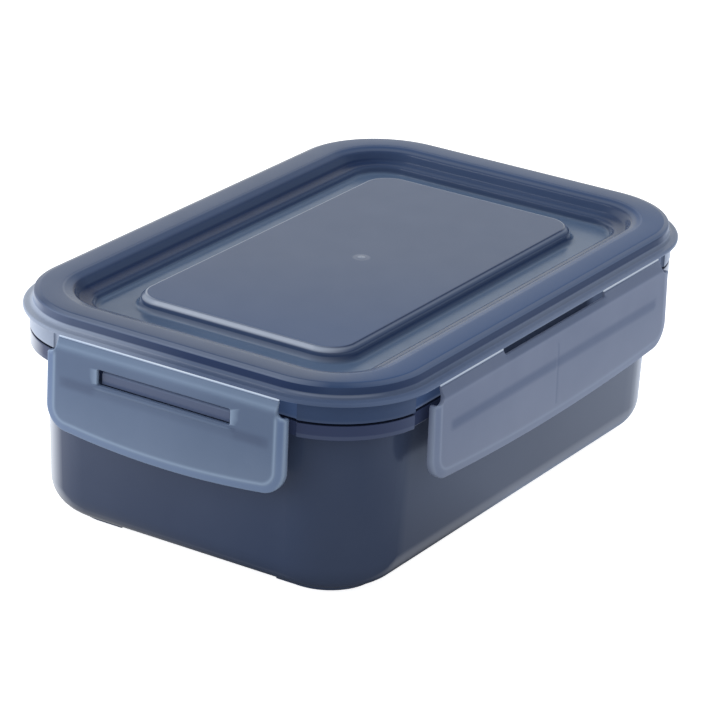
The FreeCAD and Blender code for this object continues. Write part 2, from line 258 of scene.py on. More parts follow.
def all_stations():
    """The first quadrant mirrored round the box, without doubling the shared stations."""
    def mirrored_run(run, sign_x, sign_y):
        return [s._replace(base_x=s.base_x * sign_x, dir_x=s.dir_x * sign_x,
                           base_y=s.base_y * sign_y, dir_y=s.dir_y * sign_y) for s in run]

    quadrant = first_quadrant()
    return (quadrant + mirrored_run(reversed(quadrant[:-1]), -1, 1)
            + mirrored_run(quadrant[1:], -1, -1) + mirrored_run(reversed(quadrant[1:-1]), 1, -1))


STATIONS = all_stations()


def point(loop, station):
    """Place of the loop's vertex at a station."""
    if isinstance(loop, Round):
        return (station.base_x * loop.centre_x / CORNER_X + station.dir_x * loop.radius,
                station.base_y * loop.centre_y / CORNER_Y + station.dir_y * loop.radius, loop.z)
    inset, z = loop.inset, loop.z
    flat = False
    for feature in ("zone", "ledge", "bar"):
        place = getattr(loop, feature)
        if place and feature in station.features:
            inset, z = place
            flat = True
    if loop.foot and "foot" in station.features:
        inset, z = loop.foot
    radius = CORNER_R - inset
    if flat:
        # keeps the face straight where it runs into the corner
        radius /= station.flat_cos
    return (station.base_x + station.dir_x * radius, station.base_y + station.dir_y * radius, z)


def hinge_gap(station):
    """Is the station behind the gap between the hinge tabs of a long side?"""
    return abs(station.dir_y) > 0.9 and abs(station.base_x) < 30


def no_tone(loop, station, place):
    return Tone()


def ring_piece(name, loops, tone=no_tone, caps=True):
    """Join the loops into a mesh: capped at both ends, or closed into a tube."""
    bm = bmesh.new()
    skirt_glow_layer = bm.verts.layers.float.new("zone")
    tone_layers = [bm.verts.layers.float.new(field) for field in Tone._fields]
    rows = []
    for loop in loops:
        row = []
        skirt = isinstance(loop, Inset) and loop.inset < 5.2
        for station in STATIONS:
            place = point(loop, station)
            vert = bm.verts.new(Vector(place) * MM)
            # painted light: the skirt behind each latch, except behind the gap between the tabs, is marked for a
            # painted glow
            lit = "zone" in station.features and not hinge_gap(station)
            vert[skirt_glow_layer] = float(lit and skirt and place[2] < 64.45)
            for layer, value in zip(tone_layers, tone(loop, station, place)):
                vert[layer] = float(value)
            row.append(vert)
        rows.append(row)
    count = len(STATIONS)
    pairs = list(zip(rows[:-1], rows[1:]))
    if not caps:
        pairs.append((rows[-1], rows[0]))
    for row, following in pairs:
        for j in range(count):
            k = (j + 1) % count
            bm.faces.new((row[j], row[k], following[k], following[j]))
    if caps:
        for row in (rows[0], rows[-1]):
            centre = bm.verts.new(sum((v.co for v in row), Vector((0, 0, 0))) / count)
            for j in range(count):
                bm.faces.new((row[j], row[(j + 1) % count], centre))
    return finish_mesh(name, bm, angle=38.0, merge=0.002)


def insets(rows):
    return [Inset(*row) for row in rows]


def centred(rows):
    """Loops round the middle, from (radius, z)."""
    return [Round(0, 0, radius, z) for radius, z in rows]


# ------------------------------------------------------------------ surface tones
def clip01(value):
    return min(1.0, max(0.0, value))


# Painted light and painted shade on the wall of the raised panel, from the top edge down.  Columns: row holds
# for insets over this; painted light everywhere; painted light facing -X; painted light facing -Y; painted shade
# facing -Y
PANEL_WALL_TONES = [
    (1.35, 0.05, 0.40, 0.04, 0.0),
    (1.0, 0.04, 0.54, 0.16, 0.0),
    (0.6, 0.02, 0.60, 0.02, 0.0),
    (0.35, 0.0, 0.40, 0.0, 0.35),
    (0.25, 0.0, 0.16, 0.0, 0.6),
    (0.1, 0.02, 0.0, 0.03, 0.0),
    (0.03, 0.02, 0.0, 0.0, 0.35),
    (-0.5, 0.0, 0.17, 0.0, 0.5),
    (-0.8, 0.0, 0.10, 0.0, 0.5),
    (-1.2, 0.0, 0.0, 0.0, 0.3),
]


def floor_shade(x, y):
    """Shade on the well's floor towards its -X, +Y corner."""
    return 0.28 * clip01((-x - 40.0) / 25.0) * clip01((y - 5.0) / 25.0)


def facings(station):
    """How far the station faces -X, +X, +Y and -Y."""
    return (max(0.0, -station.dir_x), max(0.0, station.dir_x),
            max(0.0, station.dir_y), max(0.0, -station.dir_y))


def panel_tone(loop, station, place):
    """Painted light, painted shade and painted dimming of the lid's middle: centre mark, panel and panel wall."""
    x, y, z = place
    west, east, north, south = facings(station)
    # painted light: the raised centre mark is painted paler, most at its tip
    if loop.centre_x == 0 and loop.radius <= 2.4:
        return Tone(thin=0.30 if loop.radius < 1.1 else 0.10)
    inset = PANEL_R - loop.radius
    underside = inset > 1.6 and z < 67.0
    if loop.centre_x == PANEL_CX and 62.3 < z < 67.59 and inset < 2.1 and not underside:
        # painted highlights on the panel's bevel and wall, strongest facing -X; painted shade facing -Y
        left_light = west ** 2.2
        if inset > 1.55:                                 # top edge of the bevel
            return Tone(thin=0.22 * left_light + 0.42 * max(east, north), deep=0.60 * south)
        for over, light_all, light_west, light_south, shade_south in PANEL_WALL_TONES:
            if inset > over:
                return Tone(thin=light_all + light_west * left_light + light_south * south,
                            deep=shade_south * south)
        return Tone(deep=floor_shade(x, y))
    # painted dimming of the panel's top, growing towards the camera
    if z > 67.59:                                        # flat top of the panel
        return Tone(crown=0.20 + 0.5 * clip01((TO_VIEW_X * x + TO_VIEW_Y * y) / 60.0))
    return Tone()


def lid_tone(loop, station, place):
    """Painted light, painted shade and painted dimming of the lid.  West, east, north and south stand for -X, +X, +Y
    and -Y.
    """
    if isinstance(loop, Round):
        return panel_tone(loop, station, place)
    x, y, z = place
    inset = loop.inset
    west, east, north, south = facings(station)
    near = TO_VIEW_X * station.dir_x + TO_VIEW_Y * station.dir_y
    sideways = (x * VIEW_RIGHT_X + y * VIEW_RIGHT_Y) / math.hypot(x, y)   # -1 left, +1 right
    # painted light on the flange, skirt and crown wall towards the left and right of the view
    left = 0.36 * clip01((-sideways - 0.48) / 0.38)
    right = 0.08 * clip01((sideways - 0.3) / 0.5)
    flange_light = 0.065 + left + right
    on_west = clip01((west - 0.87) / 0.13)
    on_south = clip01((south - 0.6) / 0.4)
    bend = clip01(min(north, west) / 0.4)                # corner at -X, +Y

    # painted light on the flange, with painted dimming facing -Y
    if inset <= 2.0 and 64.2 < z < 66.2:                 # flange
        return Tone(thin=flange_light + 0.05 * on_south, crown=0.7 * south)
    # painted light along the root of the crown's wall, more facing -X and the camera
    if 2.0 < inset <= 2.86 and 65.6 < z < 66.8:          # root of the crown's wall
        near_light = 0.12 * clip01((near - 0.86) / 0.1) * (inset > 2.6)
        return Tone(thin=flange_light + 0.03 * on_west + near_light)
    # painted light at the sides, along the lower edge and at the right end; painted shade under the skirt and behind
    # the gap between the tabs
    if z <= 64.35 and inset < 5.2:                       # skirt
        if hinge_gap(station):
            return Tone(thin=0.05, deep=0.2)
        low = 0.03 if 58.55 < z < 59.0 else 0.0
        view_side = VIEW_RIGHT_X * station.dir_x + VIEW_RIGHT_Y * station.dir_y
        end = 0.6 * clip01((view_side - 0.9) / 0.08)
        return Tone(thin=clip01(1.3 * left + right + low + end), deep=0.9 if z < 58.52 else 0.0)
    # painted light at the left, painted shade elsewhere, most facing -X and -Y
    if 2.88 <= inset < 3.13 and 66.9 < z < 69.0:         # crown's outer wall
        return Tone(thin=0.25 * left,
                    deep=(0.30 + 0.50 * on_west + 0.40 * on_south) * (1 - left))
    # painted highlight facing -X and -Y, with painted dimming facing -Y
    if 3.13 <= inset <= 4.7 and z > 69.0:                # bevel on the crown's outer edge
        return Tone(thin=0.15 * on_west + 0.09 * on_south, crown=0.5 * south)
    # painted dimming, strongest facing -Y; a thin painted highlight near the inner edge facing +X and +Y
    if 4.7 < inset < 13.0 and z > 69.4:                  # crown
        facing = clip01((south - 0.3) / 0.7) + 0.25 * north + 0.4 * east + 0.1 * west
        return Tone(thin=0.08 * max(north, east) if 11.5 < inset < 12.0 else 0.0,
                    crown=clip01(facing))
    # painted highlight facing +X, painted shade facing +Y, painted dimming facing +Y and -Y
    if 12.0 <= inset < 14.6 and z > 69.0:                # crown's inner edge
        return Tone(thin=0.06 * east, deep=0.25 * north if inset > 14 else 0.0,
                    crown=0.3 * north + 0.4 * south)
    # painted shade in the corner at -X, +Y
    if 20.2 < inset < 22.3 and z > 63.45:                # foot of the well's wall
        return Tone(deep=0.6 * bend)
    # painted shade, darkest facing +Y and in the corners at -X, +Y and +X, -Y
    if 14.0 <= inset <= 20.2 and z > 65.4:               # inner slope and ledge, both faces
        dark = 0.55 if inset > 18.7 else 0.85 if z < 66.9 else 0.38
        opposite_bend = clip01(min(east, south) / 0.4)
        return Tone(deep=clip01(dark * north + 0.8 * bend + 0.3 * opposite_bend))
    # painted shade towards the corner at -X, +Y
    if inset > 20.2 and 63.35 < z < 63.5:                # floor of the well
        return Tone(deep=floor_shade(x, y))
    return Tone()


def tub_tone(loop, station, place):
    x, y, z = place
    if isinstance(loop, Round):
        return Tone()
    # painted light on the bar on the ends, paler at its top
    if loop.bar and "bar" in station.features and 53.5 <= z <= 57.7 and abs(x) > 99.0:
        return Tone(thin=0.32 if z > 56.6 else 0.16)
    # painted shade on the top of the rim
    if 57.8 < z < 58.0 and loop.inset < 6.3:             # top of the rim
        return Tone(deep=0.8)
    # painted highlight along the lower edge of the rim, outside the latch zones
    if 53.5 < z < 54.75 and 2.0 < loop.inset < 2.4 and "zone" not in station.features:
        return Tone(thin=0.08)                           # lower edge of the rim
    return Tone()


# ------------------------------------------------------------------ lid
# Raised mark in the middle of the panel: radius, z
LID_MARK = [(0.35, 67.70), (0.7, 67.69), (1.0, 67.665), (1.3, 67.64), (1.7, 67.615),
            (2.3, 67.602), (3.0, 67.6)]

# Loops spread between the mark and the panel's edge: share of the corner centres, radius
PANEL_SPREAD = [(0.3, 3.4), (0.6, 4.2), (0.85, 5.0)]

# Panel's edge and wall, down to the floor of the well: inset from the panel's edge, z
PANEL_TOP = [
    (4.0, 67.6), (2.6, 67.6), (2.2, 67.597), (1.95, 67.58), (1.75, 67.54), (1.6, 67.46),
    (1.5, 67.38), (1.2, 67.11), (0.8, 66.75), (0.42, 66.41), (0.3, 66.28), (0.2, 66.12),
    (0.13, 65.9), (0.09, 65.6), (0.05, 65.3), (0.02, 65.05), (-0.04, 64.8), (-0.16, 64.5),
    (-0.36, 64.17), (-0.66, 63.86), (-1.02, 63.62), (-1.42, 63.47), (-1.85, 63.41),
    (-2.5, 63.4),
]

# The same wall from below, going up
PANEL_UNDERSIDE = [(-2.5, 62.1), (1.4, 62.1), (1.65, 62.3), (1.7, 65.8), (1.95, 66.2),
                   (2.5, 66.3)]

# From the well outwards: inset, z
LID_TOP = [
    # floor of the well and its outer wall with a ledge
    (22.8, 63.4), (22.2, 63.42), (21.7, 63.52), (21.3, 63.74), (21.0, 64.08), (20.84, 64.5),
    (20.72, 65.0), (20.58, 65.35), (20.36, 65.64), (20.0, 65.87), (19.5, 66.0), (18.6, 66.1),
    (17.7, 66.2), (17.2, 66.27), (16.75, 66.38), (16.42, 66.56), (16.2, 66.85), (15.95, 67.3),
    (15.6, 67.9), (15.25, 68.48), (15.02, 68.77), (14.72, 68.98), (14.3, 69.13), (13.7, 69.3),
    # crown
    (12.9, 69.52), (12.3, 69.68), (11.95, 69.78), (11.75, 69.83), (11.6, 69.87), (11.4, 69.9),
    (11.1, 69.925), (10.0, 69.97), (8.8, 69.995), (7.6, 69.995), (6.4, 69.97), (5.4, 69.93),
    (5.1, 69.91), (4.95, 69.89), (4.8, 69.86), (4.65, 69.82), (4.3, 69.72), (3.9, 69.61),
    (3.6, 69.52), (3.42, 69.43), (3.27, 69.3), (3.16, 69.13), (3.09, 68.93), (3.03, 68.5),
    (2.97, 67.8), (2.9, 67.1), (2.84, 66.7), (2.72, 66.35), (2.52, 66.05), (2.25, 65.83),
    # flange
    (1.95, 65.7), (1.6, 65.64), (1.1, 65.61), (0.6, 65.58), (0.32, 65.52), (0.12, 65.38),
    (0.02, 65.18), (0.0, 64.8), (0.0, 64.6), (0.05, 64.42), (0.18, 64.33), (0.42, 64.3),
]

# Under the flange, and the skirt, which steps in behind the latches: inset, z, zone
LID_SKIRT = [
    (1.6, 64.3, (2.9, 64.3)), (1.88, 64.24, (3.25, 64.24)), (2.0, 64.0, (3.4, 64.0)),
    (2.0, 61.5, (3.4, 61.5)), (2.0, 59.6, (3.4, 59.6)), (2.0, 58.85, (3.4, 58.8)),
    (2.08, 58.62, (3.46, 58.6)), (2.3, 58.5, (3.65, 58.5)), (3.2, 58.5, (4.65, 58.5)),
    (3.45, 58.6, (4.86, 58.6)), (3.5, 58.85, (4.9, 58.8)), (3.5, 64.0, (4.9, 64.1)),
    (3.7, 64.3, (5.0, 64.3)),
]

# Seal channel and underside of crown and well: inset, z
LID_UNDERSIDE = [
    (5.75, 64.3), (5.9, 64.45), (5.9, 68.2), (6.05, 68.5), (9.15, 68.5), (9.32, 68.3),
    (9.5, 63.2), (9.7, 63.0), (10.3, 63.0), (10.5, 63.2), (10.7, 68.3), (10.95, 68.5),
    (14.2, 68.5), (14.6, 68.2), (14.9, 66.8), (15.3, 65.5), (15.9, 65.02), (18.7, 64.75),
    (19.1, 64.4), (19.4, 62.9), (19.9, 62.45), (21.2, 62.1), (22.5, 62.1),
]


def panel(rows):
    return [Round(PANEL_CX, PANEL_CY, PANEL_R - inset, z) for inset, z in rows]


def panel_spread(z):
    return [Round(PANEL_CX * share, PANEL_CY * share, radius, z)
            for share, radius in PANEL_SPREAD]


def make_lid():
    top = centred(LID_MARK) + panel_spread(67.6) + panel(PANEL_TOP) + insets(LID_TOP)
    below = insets(LID_SKIRT) + insets(LID_UNDERSIDE) + panel(PANEL_UNDERSIDE)
    below += panel_spread(66.3)[::-1] + centred([(2.0, 66.3)])
    return ring_piece("lid_shell", top + below, lid_tone)


# ------------------------------------------------------------------ tub
BEND_INSET = 18.15                     # inset of the centre of the bend from floor to wall
OUTER_BEND_R, OUTER_BEND_Z = 9.4, 10.9
INNER_BEND_R, INNER_BEND_Z = 7.8, 11.1
WALL_DRAFT = 1.5                       # how far the wall leans out over its height
OUTER_WALL_TOP, INNER_WALL_TOP = 56.4, 55.4
INNER_WALL_INSET = 8.85                # inset of the inner wall at its top

# Mark in the middle of the underside: radius, z
TUB_MARK = [(0.5, 1.62), (1.0, 1.60), (1.5, 1.72), (2.0, 1.79), (2.3, 1.80), (2.8, 1.80)]

# Edge of the middle of the underside: radius on the corner centres, z
TUB_BASE_EDGE = [(8.8, 1.8), (9.4, 1.8), (9.8, 1.76), (10.1, 1.6), (10.5, 1.5)]

# Underside with the corner feet: inset, z, (inset, z) on a foot
TUB_FEET = [
    (19.95, 1.5, None), (19.5, 1.5, (19.5, 1.45)), (19.49, 1.5, (19.47, 0.3)),
    (19.35, 1.5, (19.36, 0.08)), (19.2, 1.5, (19.2, 0.0)), (17.6, 1.515, (17.6, 0.0)),
    (17.45, 1.53, (17.42, 0.08)), (17.32, 1.537, (17.32, 0.3)), (17.3, 1.538, (17.3, 1.45)),
    (17.1, 1.56, None),
]

# Rim outside, with the ledge under the latches and the bar on the ends: inset, z, then
# (inset, z) in a latch zone, on the ledge, on the bar
TUB_RIM = [
    (7.22, 56.1), (7.0, 56.33), (6.7, 56.4),
    (3.9, 56.4, (5.15, 56.4)), (3.72, 56.33, (4.97, 56.33)), (3.65, 56.1, (4.9, 56.1)),
    (3.65, 53.6, (4.9, 53.6), (4.9, 50.2)), (3.55, 53.45, (4.8, 53.45), (4.8, 50.05)),
    (3.4, 53.4, (4.65, 53.4), (4.6, 50.0)), (2.5, 53.4, (3.75, 53.4), (0.9, 50.0)),
    (2.3, 53.44, (3.53, 53.44), (0.72, 50.04)), (2.18, 53.56, (3.43, 53.54), (0.62, 50.16)),
    (2.15, 53.72, (3.4, 53.66), (0.6, 50.35)), (2.15, 53.76, (3.4, 53.69), (0.6, 51.6)),
    (2.15, 53.8, (3.4, 53.72), (0.63, 51.82)), (2.15, 53.84, (3.4, 53.75), (0.73, 51.96)),
    (2.15, 53.88, (3.4, 53.78), (0.95, 52.0)), (2.15, 53.92, (3.4, 53.81), (3.1, 52.0)),
    (2.15, 53.96, (3.4, 53.84), (3.32, 52.08)), (2.15, 54.0, (3.4, 53.88), (3.4, 52.3)),
    (2.15, 54.05, (3.4, 54.0), None, (3.4, 53.6)),
    (2.15, 54.5, (3.4, 54.5), None, (3.3, 53.62)),
    (2.15, 54.9, (3.4, 54.9), None, (-0.5, 53.62)),
    (2.15, 55.2, (3.4, 55.2), None, (-0.62, 53.67)),
    (2.15, 55.5, (3.4, 55.5), None, (-0.68, 53.8)),
    (2.15, 55.8, (3.4, 55.8), None, (-0.68, 56.5)),
    (2.15, 56.1, (3.4, 56.1), None, (-0.62, 56.8)),
    (2.15, 56.4, (3.4, 56.4), None, (-0.45, 57.1)),
    (2.15, 56.7, (3.4, 56.7), None, (-0.2, 57.26)),
    (2.15, 57.0, (3.4, 57.0), None, (0.1, 57.32)),
    (2.15, 57.3, (3.4, 57.3), None, (3.3, 57.34)),
    (2.15, 57.55, (3.4, 57.55), None, (3.4, 57.56)),
    (2.19, 57.74, (3.44, 57.74)), (2.28, 57.86, (3.53, 57.86)), (2.45, 57.9, (3.7, 57.9)),
]

# Top of the rim and the upright lip under the seal: inset, z
TUB_LIP = [
    (5.8, 57.9), (6.1, 57.98), (6.2, 58.25), (6.2, 64.0), (6.26, 64.25), (6.5, 64.4),
    (7.7, 64.4), (7.92, 64.28), (8.0, 64.0), (8.0, 58.3), (8.15, 57.6),
    (INNER_WALL_INSET, INNER_WALL_TOP),
]


def floor_bend(radius, centre_z, angles):
    """Loops round the bend between floor (0 degrees) and wall (90 degrees)."""
    turns = [math.radians(angle) for angle in angles]
    return [Inset(BEND_INSET - radius * math.sin(turn), centre_z - radius * math.cos(turn))
            for turn in turns]


def make_tub():
    loops = centred(TUB_MARK)
    loops += [Round(CORNER_X * share, CORNER_Y * share, radius, 1.8)
              for share, radius in ((0.3, 4), (0.7, 6))]
    loops += [Round(CORNER_X, CORNER_Y, radius, z) for radius, z in TUB_BASE_EDGE]
    loops += [Inset(inset, z, foot=foot) for inset, z, foot in TUB_FEET]
    loops += floor_bend(OUTER_BEND_R, OUTER_BEND_Z, (10, 17, 24, 32, 40, 48, 56, 64, 72, 80, 86))
    for z in (10.9, 12.5, 18, 26, 34, 42, 49, 53, 55.4):
        risen = (z - OUTER_BEND_Z) / (OUTER_WALL_TOP - OUTER_BEND_Z)
        loops.append(Inset(BEND_INSET - OUTER_BEND_R - WALL_DRAFT * risen, z))
    loops += insets(TUB_RIM) + insets(TUB_LIP)
    for z in (48, 36, 24, 14):
        fallen = (INNER_WALL_TOP - z) / (INNER_WALL_TOP - INNER_BEND_Z)
        loops.append(Inset(INNER_WALL_INSET + WALL_DRAFT * fallen, z))
    loops += floor_bend(INNER_BEND_R, INNER_BEND_Z, range(90, -1, -10))
    loops += insets([(19.3, 3.3), (20.0, 3.3)])
    loops += [Round(CORNER_X * share, CORNER_Y * share, radius, 3.3)
              for share, radius in ((0.8, 8), (0.4, 4), (0, 2))]
    return ring_piece("tub_shell", loops, tub_tone)


# ------------------------------------------------------------------ sealing ring
# Section with two lips below: inset, z
SEAL_SECTION = [
    (6.35, 68.3), (8.85, 68.3), (9.0, 68.24), (9.05, 68.1), (9.05, 65.2), (9.0, 64.95),
    (8.86, 64.7), (8.68, 64.62), (8.45, 64.62), (8.3, 64.7), (8.12, 64.95), (8.0, 65.08),
    (7.85, 65.12), (7.1, 65.12), (6.95, 65.08), (6.84, 64.9), (6.72, 64.7), (6.6, 64.62),
    (6.46, 64.66), (6.33, 64.85), (6.18, 65.15), (6.15, 65.35), (6.15, 68.1), (6.2, 68.24),
]

lid = make_lid()
tub = make_tub()
seal = ring_piece("seal_band", insets(SEAL_SECTION), caps=False)


# ================================================================== plane geometry
def mirrored(points):
    """The points mirrored left to right, in reverse order."""
    return [(-x, z) for x, z in reversed(points)]


def level_row(z, start, end, count):
    return [(x, z) for x in np.linspace(start, end, count)]


def nearest_turn(angle, reference):
    """The angle, moved by whole turns to within half a turn of the reference."""
    while angle - reference > math.pi:
        angle -= 2 * math.pi
    while angle - reference < -math.pi:
        angle += 2 * math.pi
    return angle


def arc_through(start, middle, end, steps):
    """steps + 1 points from start to end on the circle through all three."""
    (ax, ay), (mx, my), (bx, by) = start, middle, end
    a2, m2, b2 = ax * ax + ay * ay, mx * mx + my * my, bx * bx + by * by
    double_area = 2 * (ax * (my - by) + mx * (by - ay) + bx * (ay - my))
    centre_x = (a2 * (my - by) + m2 * (by - ay) + b2 * (ay - my)) / double_area
    centre_y = (a2 * (bx - mx) + m2 * (ax - bx) + b2 * (mx - ax)) / double_area
    radius = math.hypot(ax - centre_x, ay - centre_y)
    first, passing, last = (math.atan2(y - centre_y, x - centre_x)
                            for x, y in (start, middle, end))
    passing = nearest_turn(passing, first)
    last = nearest_turn(last, passing)
    angles = [first + (last - first) * k / steps for k in range(steps + 1)]
    return [(centre_x + radius * math.cos(angle), centre_y + radius * math.sin(angle))
            for angle in angles]


def distance_to(line, places, closed=False):
    """Distance from each place to a polyline."""
    corners = np.array(line, float)
    if closed:
        corners = np.vstack([corners, corners[:1]])
    nearest = np.full(len(places), 1e9)
    for start, end in zip(corners[:-1], corners[1:]):
        run = end - start
        length2 = float(run @ run)
        if length2 < 1e-12:
            continue
        share = np.clip(((places - start) @ run) / length2, 0, 1)
        gap = np.linalg.norm(places - (start + share[:, None] * run), axis=1)
        nearest = np.minimum(nearest, gap)
    return nearest


def inside(polygon, places):
    """Which places lie inside the polygon, by counting crossings."""
    corners = np.array(polygon, float)
    x, y = places[:, 0], places[:, 1]
    result = np.zeros(len(places), bool)
    for (xi, yi), (xj, yj) in zip(corners, np.roll(corners, 1, 0)):
        if yi != yj:
            result ^= ((yi > y) != (yj > y)) & (x < (xj - xi) * (y - yi) / (yj - yi) + xi)
    return result


def unit(vectors):
    return vectors / (np.linalg.norm(vectors, axis=1)[:, None] + 1e-12)


def left_of(vectors):
    """Vectors turned a quarter turn to the left."""
    return np.stack([-vectors[:, 1], vectors[:, 0]], 1)


def offset_open(line, distance):
    """Polyline moved to its left."""
    corners = np.array(line, float)
    return corners + left_of(unit(np.gradient(corners, axis=0))) * distance


def offset_closed(polygon, distance):
    """Counter-clockwise polygon moved inwards, mitred."""
    corners = np.array(polygon, float)
    before = left_of(unit(corners - np.roll(corners, 1, 0)))
    after = left_of(unit(np.roll(corners, -1, 0) - corners))
    mitre = unit(before + after)
    stretch = 1.0 / np.clip((mitre * before).sum(1), 0.5, 1)
    return corners + mitre * (distance * stretch)[:, None]


def smooth(value):
    value = np.clip(value, 0, 1)
    return value * value * (3 - 2 * value)


def rise(value, start, width):
    """0 up to start, then smoothly to 1 over the width."""
    return smooth((value - start) / width)


def fall(value, end, width):
    """Smoothly from 1 to 0 over the width that stops at end."""
    return smooth((end - value) / width)


def peak(value, centre, width):
    return np.exp(-((value - centre) / width) ** 2)


# ================================================================== latches
# A plate is drawn flat in (along, z): along runs along its side of the box, z is height
# over the hinge axis.  A front and a back surface then give it thickness outwards.
PLATE_TOP = -0.42
SHOULDER_Z = -5.8                      # the plate has its full width below this
BOTTOM_MID_Z = -30.7                   # lowest point of the bowed bottom edge
BOTTOM_END_Z = -28.9 + 0.28            # bottom edge where the corners begin
PLATE_CORNER_R = 7.5
CORNER_TOP_Z = -28.9 + PLATE_CORNER_R + 0.4
GAP_Z = -1.7                           # top edge in the gap between the tabs
SLOT_HALF, SLOT_LOW, SLOT_HIGH, SLOT_CORNER = 23.0, -10.85, -6.1, 0.45

# Lines the triangles follow, so that the surfaces have vertices where they bend
EDGE_INSETS = (0.06, 0.16, 0.32)
SLOT_OFFSETS = (0.07, 0.18, 0.36)
BORDER_INSETS = (0.62, 1.0, 1.25, 1.42, 1.8, 2.15, 2.45, 2.7, 2.95, 3.25, 3.6, 3.95, 4.4)
TAB_ROWS = (-0.9, -1.6)
SHOULDER_ROWS = (-2.3, -2.75, -3.05, -3.3, -3.55, -3.85, -4.25, -4.7, -4.86)
SLOT_LIP_ROWS = (-11.15, -11.25, -11.4, -11.55, -11.7, -11.85, -12.0, -12.15, -12.3, -12.45,
                 -12.7)
HOOK_ROWS = (-14.7, -14.8, -15.25, -15.7, -16.2, -16.7, -17.15)
GROOVE_COLUMNS = (-1.3, -0.75, -0.3, 0.3, 0.75, 1.3)
STRIP_ROWS = (-10.45, -11.0, -11.6, -12.3, -13.0, -13.7, -14.4, -15.0, -15.5)

# Surfaces as lines between (z, outward) points
FRONT_TAB_LINE = (-0.38, 0.28), (-3.4, 2.0)
FRONT_FACE_LINE = (-3.4, 2.0), (-31.7, 2.45)
BACK_TAB_LINE = (-0.62, -0.28), (-4.3, 0.8)
BACK_FACE_LINE = (-4.3, 0.8), (-31.7, 1.25)
FLANGE_OUT = -0.5                      # the flange round the back reaches in to here


def side_frame(direction_x, direction_y):
    """Function from (outward, along, z over the hinge axis) to a place on that side."""
    def world(outward, along, z):
        return Vector((
            (outward * direction_x - along * direction_y + HALF_X * direction_x) * MM,
            (outward * direction_y + along * direction_x + HALF_Y * direction_y) * MM,
            (z + HINGE_Z) * MM))
    return world


def plate_edges(plate):
    """The outline, counter-clockwise, and the U of sides and bottom for the border band."""
    half, hinge_half = plate.half, plate.hinge_half
    corner_x = half - PLATE_CORNER_R
    diagonal = PLATE_CORNER_R * math.sqrt(0.5)
    shoulder = [(hinge_half, PLATE_TOP), (hinge_half, -1.2), (hinge_half, -2.0),
                (hinge_half, -2.7)]
    shoulder += arc_through((hinge_half, -2.7), (hinge_half + 0.55, -3.9),
                            (half - 0.9, -4.6), 7)[1:]
    shoulder += arc_through((half - 0.9, -4.6), (half - 0.2, -5.0), (half, SHOULDER_Z), 6)[1:]
    flank = [(half, z) for z in np.linspace(SHOULDER_Z, CORNER_TOP_Z, 12)[1:]]
    flank += arc_through((half, CORNER_TOP_Z), (corner_x + diagonal, CORNER_TOP_Z - diagonal),
                         (corner_x, BOTTOM_END_Z), 14)[1:]
    bottom = arc_through((corner_x, BOTTOM_END_Z), (0.0, BOTTOM_MID_Z),
                         (-corner_x, BOTTOM_END_Z), int(half * 0.9))[1:]
    if plate.slotted:
        top = level_row(PLATE_TOP, -hinge_half, hinge_half, 30)[1:-1]
    else:
        gap = plate.gap_half
        gap_end = [(gap - 0.45, GAP_Z), (gap - 0.13, GAP_Z + 0.13), (gap, GAP_Z + 0.45),
                   (gap, PLATE_TOP)]
        top = mirrored(gap_end) + level_row(GAP_Z, -gap + 3, gap - 3, 14) + gap_end
    clockwise = top + shoulder + flank + bottom + mirrored(shoulder + flank)[1:]
    border_top = [(half, 3.0), (half, -2.0), (half, SHOULDER_Z)]
    border = border_top + flank + bottom + mirrored(flank)[1:] + mirrored(border_top)
    return clockwise[::-1], border


def slot_edge():
    """The slot's outline, counter-clockwise, with clipped corners."""
    cut, small_cut = SLOT_CORNER, SLOT_CORNER * 0.3
    upper = [(SLOT_HALF, SLOT_LOW + cut), (SLOT_HALF, SLOT_HIGH - cut),
             (SLOT_HALF - small_cut, SLOT_HIGH - small_cut), (SLOT_HALF - cut, SLOT_HIGH)]
    lower = [(SLOT_HALF - cut, SLOT_LOW), (SLOT_HALF - small_cut, SLOT_LOW + small_cut)]
    row_end = SLOT_HALF - 2
    return (upper + level_row(SLOT_HIGH, row_end, -row_end, 20) + mirrored(upper)
            + mirrored(lower) + level_row(SLOT_LOW, -row_end, row_end, 20) + lower)


def guide_lines(plate, outline, border, slot):
    """(points, closed) for every line the triangles have to follow."""
    guides = [(outline, True)]
    guides += [(offset_closed(outline, inset), True) for inset in EDGE_INSETS]
    # the border runs clockwise, so its inner side is on the right
    guides += [(offset_open(border, -inset), False) for inset in BORDER_INSETS]

    def rows(heights, half, count):
        guides.extend((level_row(z, -half, half, count), False) for z in heights)

    def column_pairs(distances, top, bottom):
        for x in distances:
            guides.append(([(x, top), (x, bottom)], False))
            guides.append(([(-x, top), (-x, bottom)], False))

    rows(TAB_ROWS, plate.hinge_half, int(plate.hinge_half / 2.2))
    rows(SHOULDER_ROWS, plate.half, int(plate.half / 2.2))
    if plate.slotted:
        guides.append((slot, True))
        guides.extend((offset_closed(slot, -offset), True) for offset in SLOT_OFFSETS)
        rows(SLOT_LIP_ROWS, 24.4, 26)
        column_pairs((24.2, 24.6), -24.5, -30.9)
    else:
        rows(HOOK_ROWS, 58.1, 50)
        column_pairs((58.0, 58.12), -14.6, -17.3)
        guides.extend(([(x, z) for z in (-7.2, -14.0, -20.0, -26.0)], False)
                      for x in GROOVE_COLUMNS)
    strip_half = plate.half - 3.4
    rows(STRIP_ROWS, strip_half, int(strip_half))
    return guides


